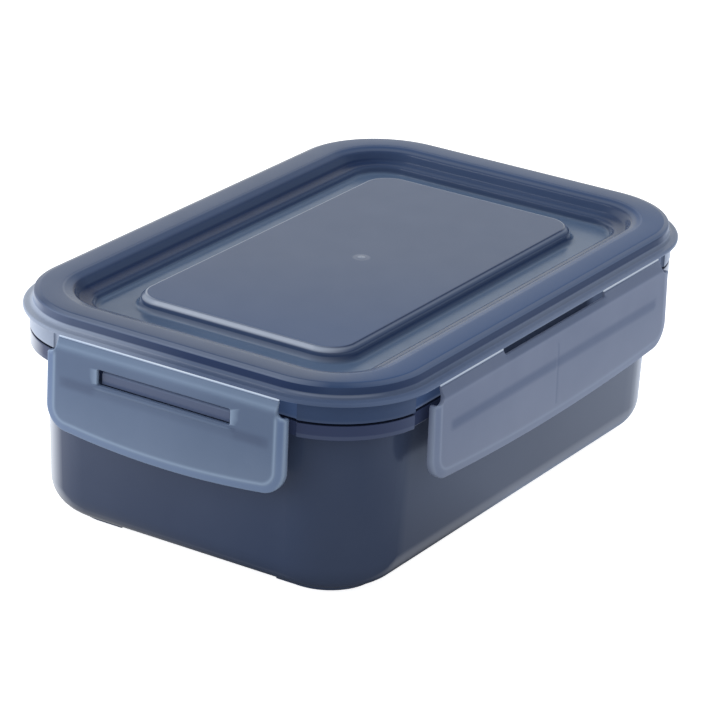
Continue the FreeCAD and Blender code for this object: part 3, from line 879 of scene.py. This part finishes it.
def triangulate(plate, outline, slot, guides):
    """Vertices (along, z) and triangles of the flat plate."""
    points, edges = [], []
    for line, closed in guides:
        base, count = len(points), len(line)
        points.extend(Vector((float(x), float(z))) for x, z in line)
        edges.extend((base + i, base + i + 1) for i in range(count - 1))
        if closed:
            edges.append((base + count - 1, base))
    # loose filling points, on slightly leaning columns
    for x in np.arange(-plate.half + 5, plate.half - 4.9, 2.6):
        for z in np.arange(-27.0, -5.5, 2.3):
            points.append(Vector((float(x) + 0.011 * z, float(z))))
    result = delaunay_2d_cdt(points, edges, [], 0, 1e-4)
    places = np.array([(v[0], v[1]) for v in result[0]], float)
    faces = np.array([face for face in result[2] if len(face) == 3], int)
    centres = places[faces].mean(1)
    keep = inside(outline, centres)
    if plate.slotted:
        keep &= ~inside(slot, centres)
    # slivers on a line have no area
    first, second, third = (places[faces[:, k]] for k in range(3))
    keep &= np.abs(np.cross(second - first, third - first)) > 1e-9
    faces = faces[keep]
    used = np.unique(faces)
    renumbered = -np.ones(len(places), int)
    renumbered[used] = np.arange(len(used))
    return places[used], renumbered[faces]


def on_line(z, line):
    (start_z, start_out), (end_z, end_out) = line
    return start_out + (start_z - z) * ((end_out - start_out) / (start_z - end_z))


def rounding(distance, radius):
    """How far a surface drops towards an edge rounded with the radius."""
    into = np.clip(radius - distance, 0, radius)
    return radius - np.sqrt(np.maximum(0, radius ** 2 - into ** 2))


def front_surface(plate, at):
    """Outward place of the outer face: sloped tab, shoulder, long face."""
    blend = 0.16                       # softness of the bend between tab and face
    tab, face = on_line(at.z, FRONT_TAB_LINE), on_line(at.z, FRONT_FACE_LINE)
    front = -blend * np.log(np.exp(-tab / blend) + np.exp(-face / blend))
    # the border band slopes back towards the edge
    band_width, band_drop = 2.72, 0.62
    slope = np.clip((band_width - at.to_border) / band_width, 0, 1) ** 1.15
    front = front - band_drop * slope * rise(at.down, 3.0, 3.2)
    front = front - rounding(at.to_edge, radius=0.32)
    if plate.slotted:
        # half-round lip below the slot
        lip_z, lip_half_height, lip_half, lip_out = -11.8, 0.62, 24.0, 0.40
        bulge = np.clip(1 - ((at.z - lip_z) / lip_half_height) ** 2, 0, 1)
        lip = np.maximum(front, 2.0 + lip_out * np.sqrt(bulge))
        return np.where((at.across < lip_half) & (bulge > 0), lip, front)
    # shallow upright groove in the middle
    return front - 0.05 * peak(at.across, 0, 0.5) * rise(at.down, 7.0, 1.5)


def back_surface(plate, at, front):
    """Outward place of the inner face, with the flange along its sides and bottom."""
    back = np.minimum(on_line(at.z, BACK_TAB_LINE), on_line(at.z, BACK_FACE_LINE))
    flange = fall(at.to_border, 1.42, 0.17) * rise(at.down, 4.7, 0.16)
    if plate.slotted:
        # the flange is left out along the middle of the bottom edge
        flange *= 1 - (at.across < 24.5) * (at.z < -20)
    back = back * (1 - flange) + FLANGE_OUT * flange
    if not plate.slotted:
        # hook: level above, then a ramp back to the face
        ramp_z, ramp_slope = -15.7, 1.55 / 1.5
        hook = np.where(at.z > ramp_z, FLANGE_OUT, FLANGE_OUT + (ramp_z - at.z) * ramp_slope)
        hooked = (at.across < 58.06) & (at.z < -14.75) & (at.z > -17.2)
        back = np.where(hooked, np.minimum(back, hook), back)
    back = back + rounding(at.to_edge, radius=0.14)
    least_thickness = 0.12
    return np.minimum(back, front - least_thickness)


def plate_tones(plate, at):
    """Values of the painted highlight, band and painted shade attributes on the outer face."""
    # painted highlights along the crease of the border band and along the outline, strongest on the flanks
    crease = peak(at.to_border, 2.9, 0.5) * rise(at.down, 3.6, 2.0)
    flank = rise(at.across, plate.half - 3.0, 1.5)
    edge = np.clip(1 - at.to_outline / 0.7, 0, 1) * rise(at.down, 0.2, 1.0)
    rim = 0.8 * crease + edge * (0.3 + 0.7 * flank)
    band = np.clip((2.7 - at.to_border) / 0.5, 0, 1)
    # painted shade in a strip where the tub's ledge lies close behind the plate
    shade = fall(np.abs(at.z + 13.0), 2.5, 1.9)
    shade *= fall(at.across, plate.shade_reach + 0.8, 1.8)
    if plate.slotted:
        # painted highlights on the lower side of the lip, at the ends of the slot and at the bend of the hinge tab
        rim = rim + 0.35 * (at.across < 24.0) * peak(at.z, -12.1, 0.3)
        rim = rim + 0.8 * (np.abs(at.across - 23.4) < 0.45) * (np.abs(at.z + 8.4) < 2.4)
        rim = rim + 0.40 * peak(at.z, -2.5, 0.8) + 0.22 * fall(at.down, 2.9, 0.8)
        # painted shade: behind the slot the strip is weaker; the slot's lower edge is painted dark
        shade *= 1 - 0.55 * (at.across < 23.5)
        slot_low = (at.across < 23.6) * fall(at.down, 11.75, 0.3) * (at.z < -10.8)
        shade = np.maximum(shade, 0.55 * slot_low)
    else:
        # painted highlight along the shoulder
        rim = rim + 0.18 * peak(at.z, -4.0, 0.4)
        # painted shade on the middle groove, and on the tabs with the gap between them
        shade = np.maximum(shade, 0.6 * peak(at.across, 0, 0.55) * rise(at.down, 5.0, 2.0))
        tab = fall(at.down, 3.8, 0.5) * np.where(at.across < 29.3, 0.8, 0.5)
        shade = np.maximum(shade, tab)
    return {"rim": rim, "band": band, "shade": shade * (1 - band)}


def make_latch(name, world, plate):
    outline, border = plate_edges(plate)
    slot = slot_edge()
    guides = guide_lines(plate, outline, border, slot)
    places, faces = triangulate(plate, outline, slot, guides)
    along, z = places[:, 0], places[:, 1]
    to_outline = distance_to(outline, places, closed=True)
    to_edge = to_outline
    if plate.slotted:
        to_edge = np.minimum(to_outline, distance_to(slot, places, closed=True))
    at = SimpleNamespace(z=z, down=-z, across=np.abs(along), to_outline=to_outline,
                         to_edge=to_edge, to_border=distance_to(border, places))
    front = front_surface(plate, at)
    back = back_surface(plate, at, front)

    bm = bmesh.new()
    tones = plate_tones(plate, at)
    layers = {key: bm.verts.layers.float.new(key) for key in tones}
    count = len(places)
    front_verts = [bm.verts.new(world(front[i], along[i], z[i])) for i in range(count)]
    back_verts = [bm.verts.new(world(back[i], along[i], z[i])) for i in range(count)]
    uses = {}
    for a, b, c in faces:
        for start, end in ((a, b), (b, c), (c, a)):
            key = (min(start, end), max(start, end))
            uses[key] = uses.get(key, 0) + 1
        for corners in ((front_verts[a], front_verts[b], front_verts[c]),
                        (back_verts[c], back_verts[b], back_verts[a])):
            # guards against a triangle the triangulation returns twice
            try:
                bm.faces.new(corners)
            except ValueError:
                pass
    # edges used by one triangle only are the plate's boundary
    for (start, end), times in uses.items():
        if times == 1:
            bm.faces.new((front_verts[start], front_verts[end],
                          back_verts[end], back_verts[start]))
    for key, values in tones.items():
        for vert, value in zip(front_verts, values):
            vert[layers[key]] = float(value)
    return finish_mesh(name, bm, angle=42, merge=0.001)


latches = {}
for side_name, (direction_x, direction_y, plate) in SIDES.items():
    latches[side_name] = make_latch(side_name + "_latch_plate",
                                    side_frame(direction_x, direction_y), plate)

# ------------------------------------------------------------------ living hinges
# Section of the strip: outward, z over the hinge axis
HINGE_SECTION = [
    (0.01, 0.20), (0.07, 0.13), (0.12, 0.02), (0.16, -0.10), (0.20, -0.24), (0.23, -0.38),
    (0.13, -0.46), (0.0, -0.44), (-0.10, -0.34), (-0.15, -0.15), (-0.17, 0.0), (-0.14, 0.12),
    (-0.06, 0.2),
]
SECTION_CENTRE = (0.05, -0.1)
HINGE_STEP = 1.6
END_SCALES = {0: 0.45, 1: 0.92}        # the section shrinks in the last two rows
END_INSET = 0.25                       # distance of the second row from the end


def make_hinge(name, world, spans):
    bm = bmesh.new()
    centre_out, centre_z = SECTION_CENTRE
    for start, end in spans:
        steps = max(4, int((end - start) / HINGE_STEP))
        rows = []
        for k in range(steps + 1):
            along = start + (end - start) * k / steps
            if k == 1:
                along = start + END_INSET
            if k == steps - 1:
                along = end - END_INSET
            scale = END_SCALES.get(min(k, steps - k), 1.0)
            rows.append([bm.verts.new(world(centre_out + (outward - centre_out) * scale, along,
                                            centre_z + (z - centre_z) * scale))
                         for outward, z in HINGE_SECTION])
        count = len(HINGE_SECTION)
        for row, following in zip(rows[:-1], rows[1:]):
            for j in range(count):
                k = (j + 1) % count
                bm.faces.new((row[j], row[k], following[k], following[j]))
        bm.faces.new(rows[0])
        bm.faces.new(rows[-1][::-1])
    return finish_mesh(name, bm, angle=60, merge=0.001)


hinges = {}
for side_name, (direction_x, direction_y, plate) in SIDES.items():
    hinges[side_name] = make_hinge(side_name + "_living_hinge",
                                   side_frame(direction_x, direction_y), plate.hinge_spans)

# ================================================================== who rides on what
for piece, carrier, replaced, slot_name in (
        (tub, "tub", "tub", "tub_plastic"),
        (lid, "lid", "lid", "lid_plastic"),
        (seal, "lid", "seal_ring", "seal_rubber")):
    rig.ride(piece, carrier)
    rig.replaces(piece, replaced)
    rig.slot(piece, slot_name)
for side_name, (direction_x, direction_y, plate) in SIDES.items():
    latch_name = side_name + "_latch"
    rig.ride(latches[side_name], latch_name)
    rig.replaces(latches[side_name], latch_name)
    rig.slot(latches[side_name], "latch_plastic")
    # the hinge follows the lid at its top and the latch at its bottom
    world = side_frame(direction_x, direction_y)
    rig.blend(hinges[side_name], "lid", latch_name,
             start=world(0.02, 0, 0.12), end=world(0.12, 0, -0.42))
    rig.replaces(hinges[side_name], side_name + "_hinge_web")
    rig.slot(hinges[side_name], "web_plastic")


# ================================================================== shader nodes
def node(tree, kind, inputs=None, **settings):
    """New shader node; each input is linked if given a socket, and set otherwise."""
    made = tree.nodes.new("ShaderNode" + kind)
    for setting, value in settings.items():
        setattr(made, setting, value)
    for socket, value in (inputs or {}).items():
        if isinstance(value, bpy.types.NodeSocket):
            tree.links.new(value, made.inputs[socket])
        else:
            made.inputs[socket].default_value = value
    return made


def emptied_tree(owner):
    owner.use_nodes = True
    owner.node_tree.nodes.clear()
    return owner.node_tree


def coordinates(tree, kind):
    return node(tree, "TexCoord").outputs[kind]


def noise(tree, vector, scale, detail, roughness):
    return node(tree, "TexNoise", {"Scale": scale, "Detail": detail, "Roughness": roughness,
                                   "Vector": vector}).outputs["Fac"]


def remap(tree, source, source_range, result_range=(0.0, 1.0)):
    return node(tree, "MapRange", {
        "Value": source, "From Min": source_range[0], "From Max": source_range[1],
        "To Min": result_range[0], "To Max": result_range[1]}).outputs["Result"]


def mix_colour(tree, factor, first, second, mode="MIX"):
    # sockets 0, 6, 7 and output 2 are the factor and the colours of a colour mix
    return node(tree, "Mix", {0: factor, 6: first, 7: second},
                data_type="RGBA", blend_type=mode).outputs[2]


def calculate(tree, operation, *values):
    return node(tree, "Math", dict(enumerate(values)), operation=operation).outputs[0]


def vector_value(tree, operation, *vectors):
    return node(tree, "VectorMath", dict(enumerate(vectors)),
                operation=operation).outputs["Value"]


def z_part(tree, vector):
    return node(tree, "SeparateXYZ", {0: vector}).outputs["Z"]


def shader(tree, kind, **inputs):
    return node(tree, kind, inputs).outputs[0]


def mix_shader(tree, factor, first, second):
    return node(tree, "MixShader", {0: factor, 1: first, 2: second}).outputs[0]


def no_light_sampling(owner, setting):
    # guards against a Blender whose Cycles add-on, and with it owner.cycles, is missing
    try:
        setattr(owner.cycles, setting, "NONE")
    except AttributeError:
        pass


def srgb(*channels):
    """Linear colour from 0-255 sRGB channels."""
    def linear(channel):
        value = channel / 255
        return value / 12.92 if value <= 0.04045 else ((value + 0.055) / 1.055) ** 2.4
    return tuple(linear(channel) for channel in channels) + (1.0,)


# ================================================================== materials
class Plastic:
    """Moulded plastic: a cloudy colour, tinted layer by layer with its own tones and with painted light and shade,
    then finished.
    """

    def __init__(self, name, colour, cloud_colour):
        self.material = bpy.data.materials.new(name)
        self.tree = emptied_tree(self.material)
        self.coords = coordinates(self.tree, "Object")
        flow = noise(self.tree, self.coords, scale=22.0, detail=4.0, roughness=0.55)
        self.colour = mix_colour(self.tree, remap(self.tree, flow, (0.35, 0.65)),
                                 colour, cloud_colour)

    def attribute(self, name):
        return node(self.tree, "Attribute", attribute_name=name).outputs["Fac"]

    def scaled(self, source, low, high):
        return remap(self.tree, source, (0.0, 1.0), (low, high))

    def tint(self, mask, colour):
        self.colour = mix_colour(self.tree, mask, self.colour, colour)

    def tint_by_height(self, start, end, colour, amount=1.0):
        """Tint from nothing at height start (m) to the amount at height end."""
        height = z_part(self.tree, self.coords)
        self.tint(remap(self.tree, height, (start, end), (0.0, amount)), colour)

    def paint_edge_light(self, colour, amount):
        """Painted light: upright walls seen at a grazing angle are painted towards a pale colour, standing in for the
        pale surroundings showing through them.
        """
        tree = self.tree
        facing = node(tree, "LayerWeight", {"Blend": 0.5}).outputs["Facing"]
        normal = node(tree, "NewGeometry").outputs["Normal"]
        level = calculate(tree, "ABSOLUTE", z_part(tree, normal))
        self.tint(calculate(tree, "MULTIPLY", remap(tree, facing, (0.53, 0.97), (0.0, amount)),
                            remap(tree, level, (0.12, 0.6), (1.0, 0.0))), colour)

    def finish(self, roughness, fine, wave=0.10, transmission=0.0, subsurface=0.0,
               glow=0.0, zone_glow=None, dull=None):
        """Build the surface.

        roughness: its range; fine, wave: strength of the moulded texture and of the slow
        waviness; glow: painted glow, an emission standing in for light carried inside the plastic;
        zone_glow: the same painted glow, stronger, behind the latches; dull: mask that takes reflections away.
        """
        tree, coords = self.tree, self.coords
        mottle = noise(tree, coords, scale=140.0, detail=3.0, roughness=0.6)
        slow = noise(tree, coords, scale=38.0, detail=2.0, roughness=0.5)
        waves = node(tree, "Bump", {"Strength": wave, "Distance": 0.0006, "Height": slow})
        grain = noise(tree, coords, scale=1800.0, detail=2.0, roughness=0.5)
        bumps = node(tree, "Bump", {"Strength": fine, "Distance": 0.0001, "Height": grain,
                                    "Normal": waves.outputs["Normal"]})
        inputs = {
            "Base Color": self.colour,
            "Roughness": remap(tree, mottle, (0.3, 0.7), roughness),
            "IOR": 1.49,
            "Transmission Weight": transmission,
            "Subsurface Weight": subsurface,
            "Subsurface Radius": (0.4, 0.6, 1.0),
            "Subsurface Scale": 0.002,
            "Coat Roughness": 0.08,
            "Normal": bumps.outputs["Normal"],
        }
        if glow:
            inputs["Emission Color"] = self.colour
            inputs["Emission Strength"] = glow
        if dull:
            inputs["Specular IOR Level"] = self.scaled(dull, 0.5, 0.0)
        surface = node(tree, "BsdfPrincipled", inputs)
        if zone_glow:
            tree.links.new(self.scaled(self.attribute("zone"), glow, zone_glow),
                           surface.inputs["Emission Strength"])
        node(tree, "OutputMaterial", {"Surface": surface.outputs["BSDF"]})
        no_light_sampling(self.material, "emission_sampling")
        return self.material


def tub_material():
    look = Plastic("tub_navy", srgb(61, 72, 96), srgb(57, 68, 92))
    # the rim is a little bluer than the wall
    look.tint_by_height(0.0530, 0.0536, srgb(54, 64, 94))
    # painted shade on the top of the rim, with its reflection turned down
    deep = look.attribute("deep")
    look.tint(deep, srgb(12, 18, 34))
    dull = look.scaled(deep, 0.0, 0.6)
    # painted light on the bar and along the rim's lower edge
    look.tint(look.attribute("thin"), srgb(150, 165, 190))
    # painted light on walls seen edge-on, and a painted glow over the tub
    look.paint_edge_light(srgb(210, 215, 224), amount=1.15)
    return look.finish(roughness=(0.18, 0.23), fine=0.0, wave=0.03, glow=0.10, dull=dull)


def lid_material():
    look = Plastic("lid_blue", srgb(57, 74, 106), srgb(53, 70, 102))
    tree = look.tree
    # painted light: the up-facing floor of the well, the thinnest part, is painted paler
    low = remap(tree, z_part(tree, look.coords), (0.0652, 0.0637))
    normal = node(tree, "NewGeometry").outputs["True Normal"]
    level = remap(tree, z_part(tree, normal), (0.25, 0.8))
    look.tint(calculate(tree, "MULTIPLY", low, level), srgb(84, 104, 133))
    # painted dimming: bluer, with its reflection turned down
    crown = look.attribute("crown")
    look.tint(crown, srgb(52, 77, 118))
    # painted shade
    deep = look.attribute("deep")
    look.tint(deep, srgb(22, 40, 76))
    dull = calculate(tree, "MAXIMUM", look.scaled(crown, 0.0, 0.68),
                     look.scaled(deep, 0.0, 0.6))
    # painted light on edges, lines and the pale sides
    look.tint(look.attribute("thin"), srgb(198, 208, 224))
    # painted light on walls seen edge-on; painted glow over the lid, stronger on the skirt behind the latches
    look.paint_edge_light(srgb(190, 202, 222), amount=0.6)
    return look.finish(roughness=(0.19, 0.24), fine=0.0, wave=0.02, glow=0.10,
                       zone_glow=0.55, dull=dull)


def latch_material(name, colour, cloud_colour, band, rim, painted_highlight_amount, shade,
                   lift, lift_amount, edge):
    look = Plastic(name, colour, cloud_colour)
    look.tint(look.scaled(look.attribute("band"), 0.0, 1.0), band)
    # painted highlights along edges, creases and lines
    look.tint(look.scaled(look.attribute("rim"), 0.0, painted_highlight_amount), rim)
    # what lies close behind the frosted plate darkens it
    look.tint(look.attribute("shade"), shade)
    # the free end hangs in more light than the hinge end
    look.tint_by_height(0.054, 0.035, lift, lift_amount)
    # painted light on walls seen edge-on, and a painted glow over the plate
    look.paint_edge_light(edge, amount=0.6)
    return look.finish(roughness=(0.30, 0.38), fine=0.02, wave=0.03, transmission=0.2, glow=0.06)


def long_latch_material():
    return latch_material(
        "latch_frosted", srgb(127, 137, 163), srgb(118, 129, 156), band=srgb(120, 134, 164),
        rim=srgb(160, 176, 202), painted_highlight_amount=0.5, shade=srgb(92, 106, 137),
        lift=srgb(178, 188, 206), lift_amount=0.16, edge=srgb(180, 186, 205))


# painted shade: the long latches' frosted plastic in a darker, bluer copy, for the light on the ends of the box
def shaded_end_latch_material():
    return latch_material(
        "latch_frosted_end", srgb(102, 119, 148), srgb(93, 111, 140), band=srgb(106, 127, 163),
        rim=srgb(160, 182, 208), painted_highlight_amount=0.75, shade=srgb(82, 98, 127),
        lift=srgb(165, 182, 206), lift_amount=0.20, edge=srgb(172, 186, 210))


def hinge_material():
    look = Plastic("hinge_whitened", srgb(215, 226, 240), srgb(198, 212, 232))
    # stretched pale across the fold, back to the plastic's own colour below it
    look.tint_by_height(0.06438, 0.06412, srgb(146, 162, 188))
    return look.finish(roughness=(0.35, 0.5), fine=0.2)


def seal_material():
    look = Plastic("seal_silicone", srgb(196, 202, 208), srgb(186, 193, 200))
    return look.finish(roughness=(0.45, 0.6), fine=0.1, subsurface=0.3)


tub_plastic = tub_material()
lid_plastic = lid_material()
long_latch_plastic = long_latch_material()
shaded_end_latch_plastic = shaded_end_latch_material()
hinge_plastic = hinge_material()
seal_silicone = seal_material()

tub.data.materials.append(tub_plastic)
lid.data.materials.append(lid_plastic)
seal.data.materials.append(seal_silicone)
for side_name, (direction_x, direction_y, plate) in SIDES.items():
    latches[side_name].data.materials.append(
        shaded_end_latch_plastic if plate.slotted else long_latch_plastic)
    hinges[side_name].data.materials.append(hinge_plastic)

# ================================================================== camera
AZIMUTH, ELEVATION, ROLL = math.radians(-57.902), math.radians(22.409), math.radians(2.47)
CAMERA_PLACE = (-0.882465, -0.553297, 0.464669)    # m
FOCAL_LENGTH, SENSOR_WIDTH = 186.397195, 36.0      # mm

to_camera = Vector((math.sin(AZIMUTH), -math.cos(AZIMUTH), 0))      # level
camera_right = Vector((math.cos(AZIMUTH), math.sin(AZIMUTH), 0))


def make_camera():
    backward = Vector((math.sin(AZIMUTH) * math.cos(ELEVATION),
                       -math.cos(AZIMUTH) * math.cos(ELEVATION), math.sin(ELEVATION)))
    upward = backward.cross(camera_right)
    rolled_right = camera_right * math.cos(ROLL) + upward * math.sin(ROLL)
    rolled_up = -camera_right * math.sin(ROLL) + upward * math.cos(ROLL)
    data = bpy.data.cameras.new("camera")
    camera = bpy.data.objects.new("camera", data)
    bpy.context.scene.collection.objects.link(camera)
    data.sensor_width = SENSOR_WIDTH
    data.lens = FOCAL_LENGTH
    data.clip_start = 0.05
    data.clip_end = 20
    matrix = Matrix((rolled_right, rolled_up, backward)).transposed().to_4x4()
    matrix.translation = Vector(CAMERA_PLACE)
    camera.matrix_world = matrix
    bpy.context.scene.camera = camera


# ================================================================== floor
FLOOR_RADII = (0.15, 0.3, 0.6, 1.2, 2.4, 5.0)      # m
FLOOR_SEGMENTS = 48


def make_floor():
    """Round table top, a hair below the box."""
    bm = bmesh.new()
    centre = bm.verts.new((0, 0, 0))
    inner = None
    for radius in FLOOR_RADII:
        turns = [2 * math.pi * k / FLOOR_SEGMENTS for k in range(FLOOR_SEGMENTS)]
        outer = [bm.verts.new((radius * math.cos(turn), radius * math.sin(turn), 0))
                 for turn in turns]
        for j in range(FLOOR_SEGMENTS):
            k = (j + 1) % FLOOR_SEGMENTS
            if inner is None:
                bm.faces.new((centre, outer[j], outer[k]))
            else:
                bm.faces.new((inner[j], outer[j], outer[k], inner[k]))
        inner = outer
    mesh = bpy.data.meshes.new("floor")
    bm.to_mesh(mesh)
    bm.free()
    floor = bpy.data.objects.new("floor", mesh)
    floor.location.z = -0.00005
    bpy.context.scene.collection.objects.link(floor)
    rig.stage(floor)
    mesh.materials.append(floor_material())


def floor_material():
    """Pale table that looks different to the camera, in reflections and to other light."""
    white = (1, 1, 1, 1)
    material = bpy.data.materials.new("pale_floor")
    tree = emptied_tree(material)
    coords = coordinates(tree, "Object")

    # to the camera: almost white
    patches = remap(tree, noise(tree, coords, scale=6.0, detail=2.0, roughness=0.5), (0.3, 0.7))
    pale = mix_colour(tree, patches, (0.86, 0.86, 0.87, 1), (0.88, 0.88, 0.88, 1))
    seen = node(tree, "AddShader", {
        0: shader(tree, "BsdfDiffuse", Color=pale),
        1: shader(tree, "Emission", Color=white, Strength=0.85)}).outputs[0]

    # in reflections: in shade towards the camera, dimmer close to the box, bluer at right
    direction = node(tree, "VectorMath", {0: coords}, operation="NORMALIZE").outputs[0]
    nearness = vector_value(tree, "DOT_PRODUCT", direction, to_camera)
    rightness = vector_value(tree, "DOT_PRODUCT", direction, camera_right)
    reflected_colour = mix_colour(tree, remap(tree, rightness, (0.2, 0.8)),
                                  (1.0, 1.0, 1.0, 1), (0.66, 0.78, 1.02, 1))
    distance = vector_value(tree, "LENGTH", coords)
    reflected_strength = calculate(tree, "MULTIPLY",
                                   remap(tree, nearness, (0.40, 0.95), (0.92, 0.06)),
                                   remap(tree, distance, (0.075, 0.15), (0.62, 1.0)))
    reflected = shader(tree, "Emission", Color=reflected_colour, Strength=reflected_strength)

    # to all other light: dimmer under and close to the box
    distance = vector_value(tree, "LENGTH", coords)
    bounced = shader(tree, "Emission", Color=white,
                     Strength=remap(tree, distance, (0.07, 0.22), (0.30, 0.80)))

    path = node(tree, "LightPath")
    unseen = mix_shader(tree, path.outputs["Is Glossy Ray"], bounced, reflected)
    above = mix_shader(tree, path.outputs["Is Camera Ray"], unseen, seen)
    # clear from below, so that the underside of the box can be looked at
    surface = mix_shader(tree, node(tree, "NewGeometry").outputs["Backfacing"],
                         above, shader(tree, "BsdfTransparent"))
    node(tree, "OutputMaterial", {"Surface": surface})
    no_light_sampling(material, "emission_sampling")
    return material


# ================================================================== world
# Brightness or colour over a direction's share along an axis: position 0 points against
# the axis, 1 points along it
TO_CAMERA_STOPS = [(0.0, 0.95), (0.42, 0.90), (0.55, 0.55), (0.68, 0.12), (1.0, 0.05)]
RIGHT_STOPS = [(0.0, (1.30, 1.34, 1.38)), (0.12, (1.2, 1.22, 1.24)), (0.35, (1.0, 1.0, 1.0)),
               (0.62, (0.96, 0.97, 0.98)), (0.80, (0.45, 0.52, 0.62)), (1.0, (0.35, 0.42, 0.5))]
UP_STOPS = [(0.0, 0.8), (0.5, 0.95), (0.66, 1.0), (0.70, 0.95), (0.78, 0.35), (1.0, 0.18)]
FILL_STOPS = [(0.0, (1.14, 1.17, 1.20)), (0.5, (1.0, 1.0, 1.0)), (1.0, (1.08, 1.06, 1.05))]


def direction_ramp(tree, coords, axis, stops):
    share = remap(tree, vector_value(tree, "DOT_PRODUCT", coords, axis), (-1, 1))
    ramp = node(tree, "ValToRGB", {"Fac": share})
    elements = ramp.color_ramp.elements
    while len(elements) > 1:
        elements.remove(elements[-1])
    for i, (position, value) in enumerate(stops):
        element = elements[0] if i == 0 else elements.new(position)
        element.position = position
        rgb = value if isinstance(value, tuple) else (value, value, value)
        element.color = rgb + (1,)
    ramp.color_ramp.interpolation = "EASE"
    return ramp.outputs["Color"]


def make_world():
    """White to the camera; a soft studio round the box for light and reflections."""
    world = bpy.data.worlds.new("studio")
    bpy.context.scene.world = world
    tree = emptied_tree(world)
    coords = coordinates(tree, "Generated")
    studio = direction_ramp(tree, coords, to_camera, TO_CAMERA_STOPS)
    for factor in (direction_ramp(tree, coords, camera_right, RIGHT_STOPS),
                   direction_ramp(tree, coords, Vector((0, 0, 1)), UP_STOPS),
                   (0.98, 1.0, 0.99, 1)):
        studio = mix_colour(tree, 1.0, studio, factor, "MULTIPLY")
    fill = direction_ramp(tree, coords, camera_right, FILL_STOPS)
    reflected = shader(tree, "Background", Color=studio, Strength=1.0)
    seen = shader(tree, "Background", Color=(1, 1, 1, 1), Strength=1.02)
    lighting = shader(tree, "Background", Color=fill, Strength=0.80)
    path = node(tree, "LightPath")
    unseen = mix_shader(tree, path.outputs["Is Glossy Ray"], lighting, reflected)
    surface = mix_shader(tree, path.outputs["Is Camera Ray"], unseen, seen)
    node(tree, "OutputWorld", {"Surface": surface})
    no_light_sampling(world, "sampling_method")


# ================================================================== lights
def area_light(name, place, target, size, power, colour=(1, 1, 1)):
    """Rectangular light at a place (m), turned to the target."""
    data = bpy.data.lights.new(name, "AREA")
    data.shape = "RECTANGLE"
    data.size, data.size_y = size
    data.energy = power
    data.color = colour
    light = bpy.data.objects.new(name, data)
    bpy.context.scene.collection.objects.link(light)
    light.location = place
    light.rotation_mode = "QUATERNION"
    light.rotation_quaternion = (target - place).to_track_quat("-Z", "Y")
    return light


def make_lights():
    box_middle = Vector((0, 0, 0.04))
    # small softbox, placed where the bevels that face left mirror it
    area_light("softbox", place=box_middle + Vector((-0.307, 0.521, 0.795)) * 1.1,
               target=box_middle, size=(0.12, 0.26), power=0.35)
    # broad fill from the camera's left, for matt light only
    fill = area_light("fill_left", place=Vector((-0.25, 0.27, 0.09)),
                      target=Vector((-0.10, 0.03, 0.04)), size=(0.18, 0.14), power=0.47,
                      colour=(0.86, 0.94, 1.06))
    fill.visible_glossy = False


make_camera()
make_floor()
make_world()
make_lights()

view = bpy.context.scene.view_settings
view.view_transform = "Standard"
view.look = "None"
view.exposure = 0.0
view.gamma = 1.0

low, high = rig.bounds()
with open("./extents.json", "w") as size_file:
    json.dump({"cad": [list(cad_low), list(cad_high)], "visual": [list(low), list(high)]},
              size_file)
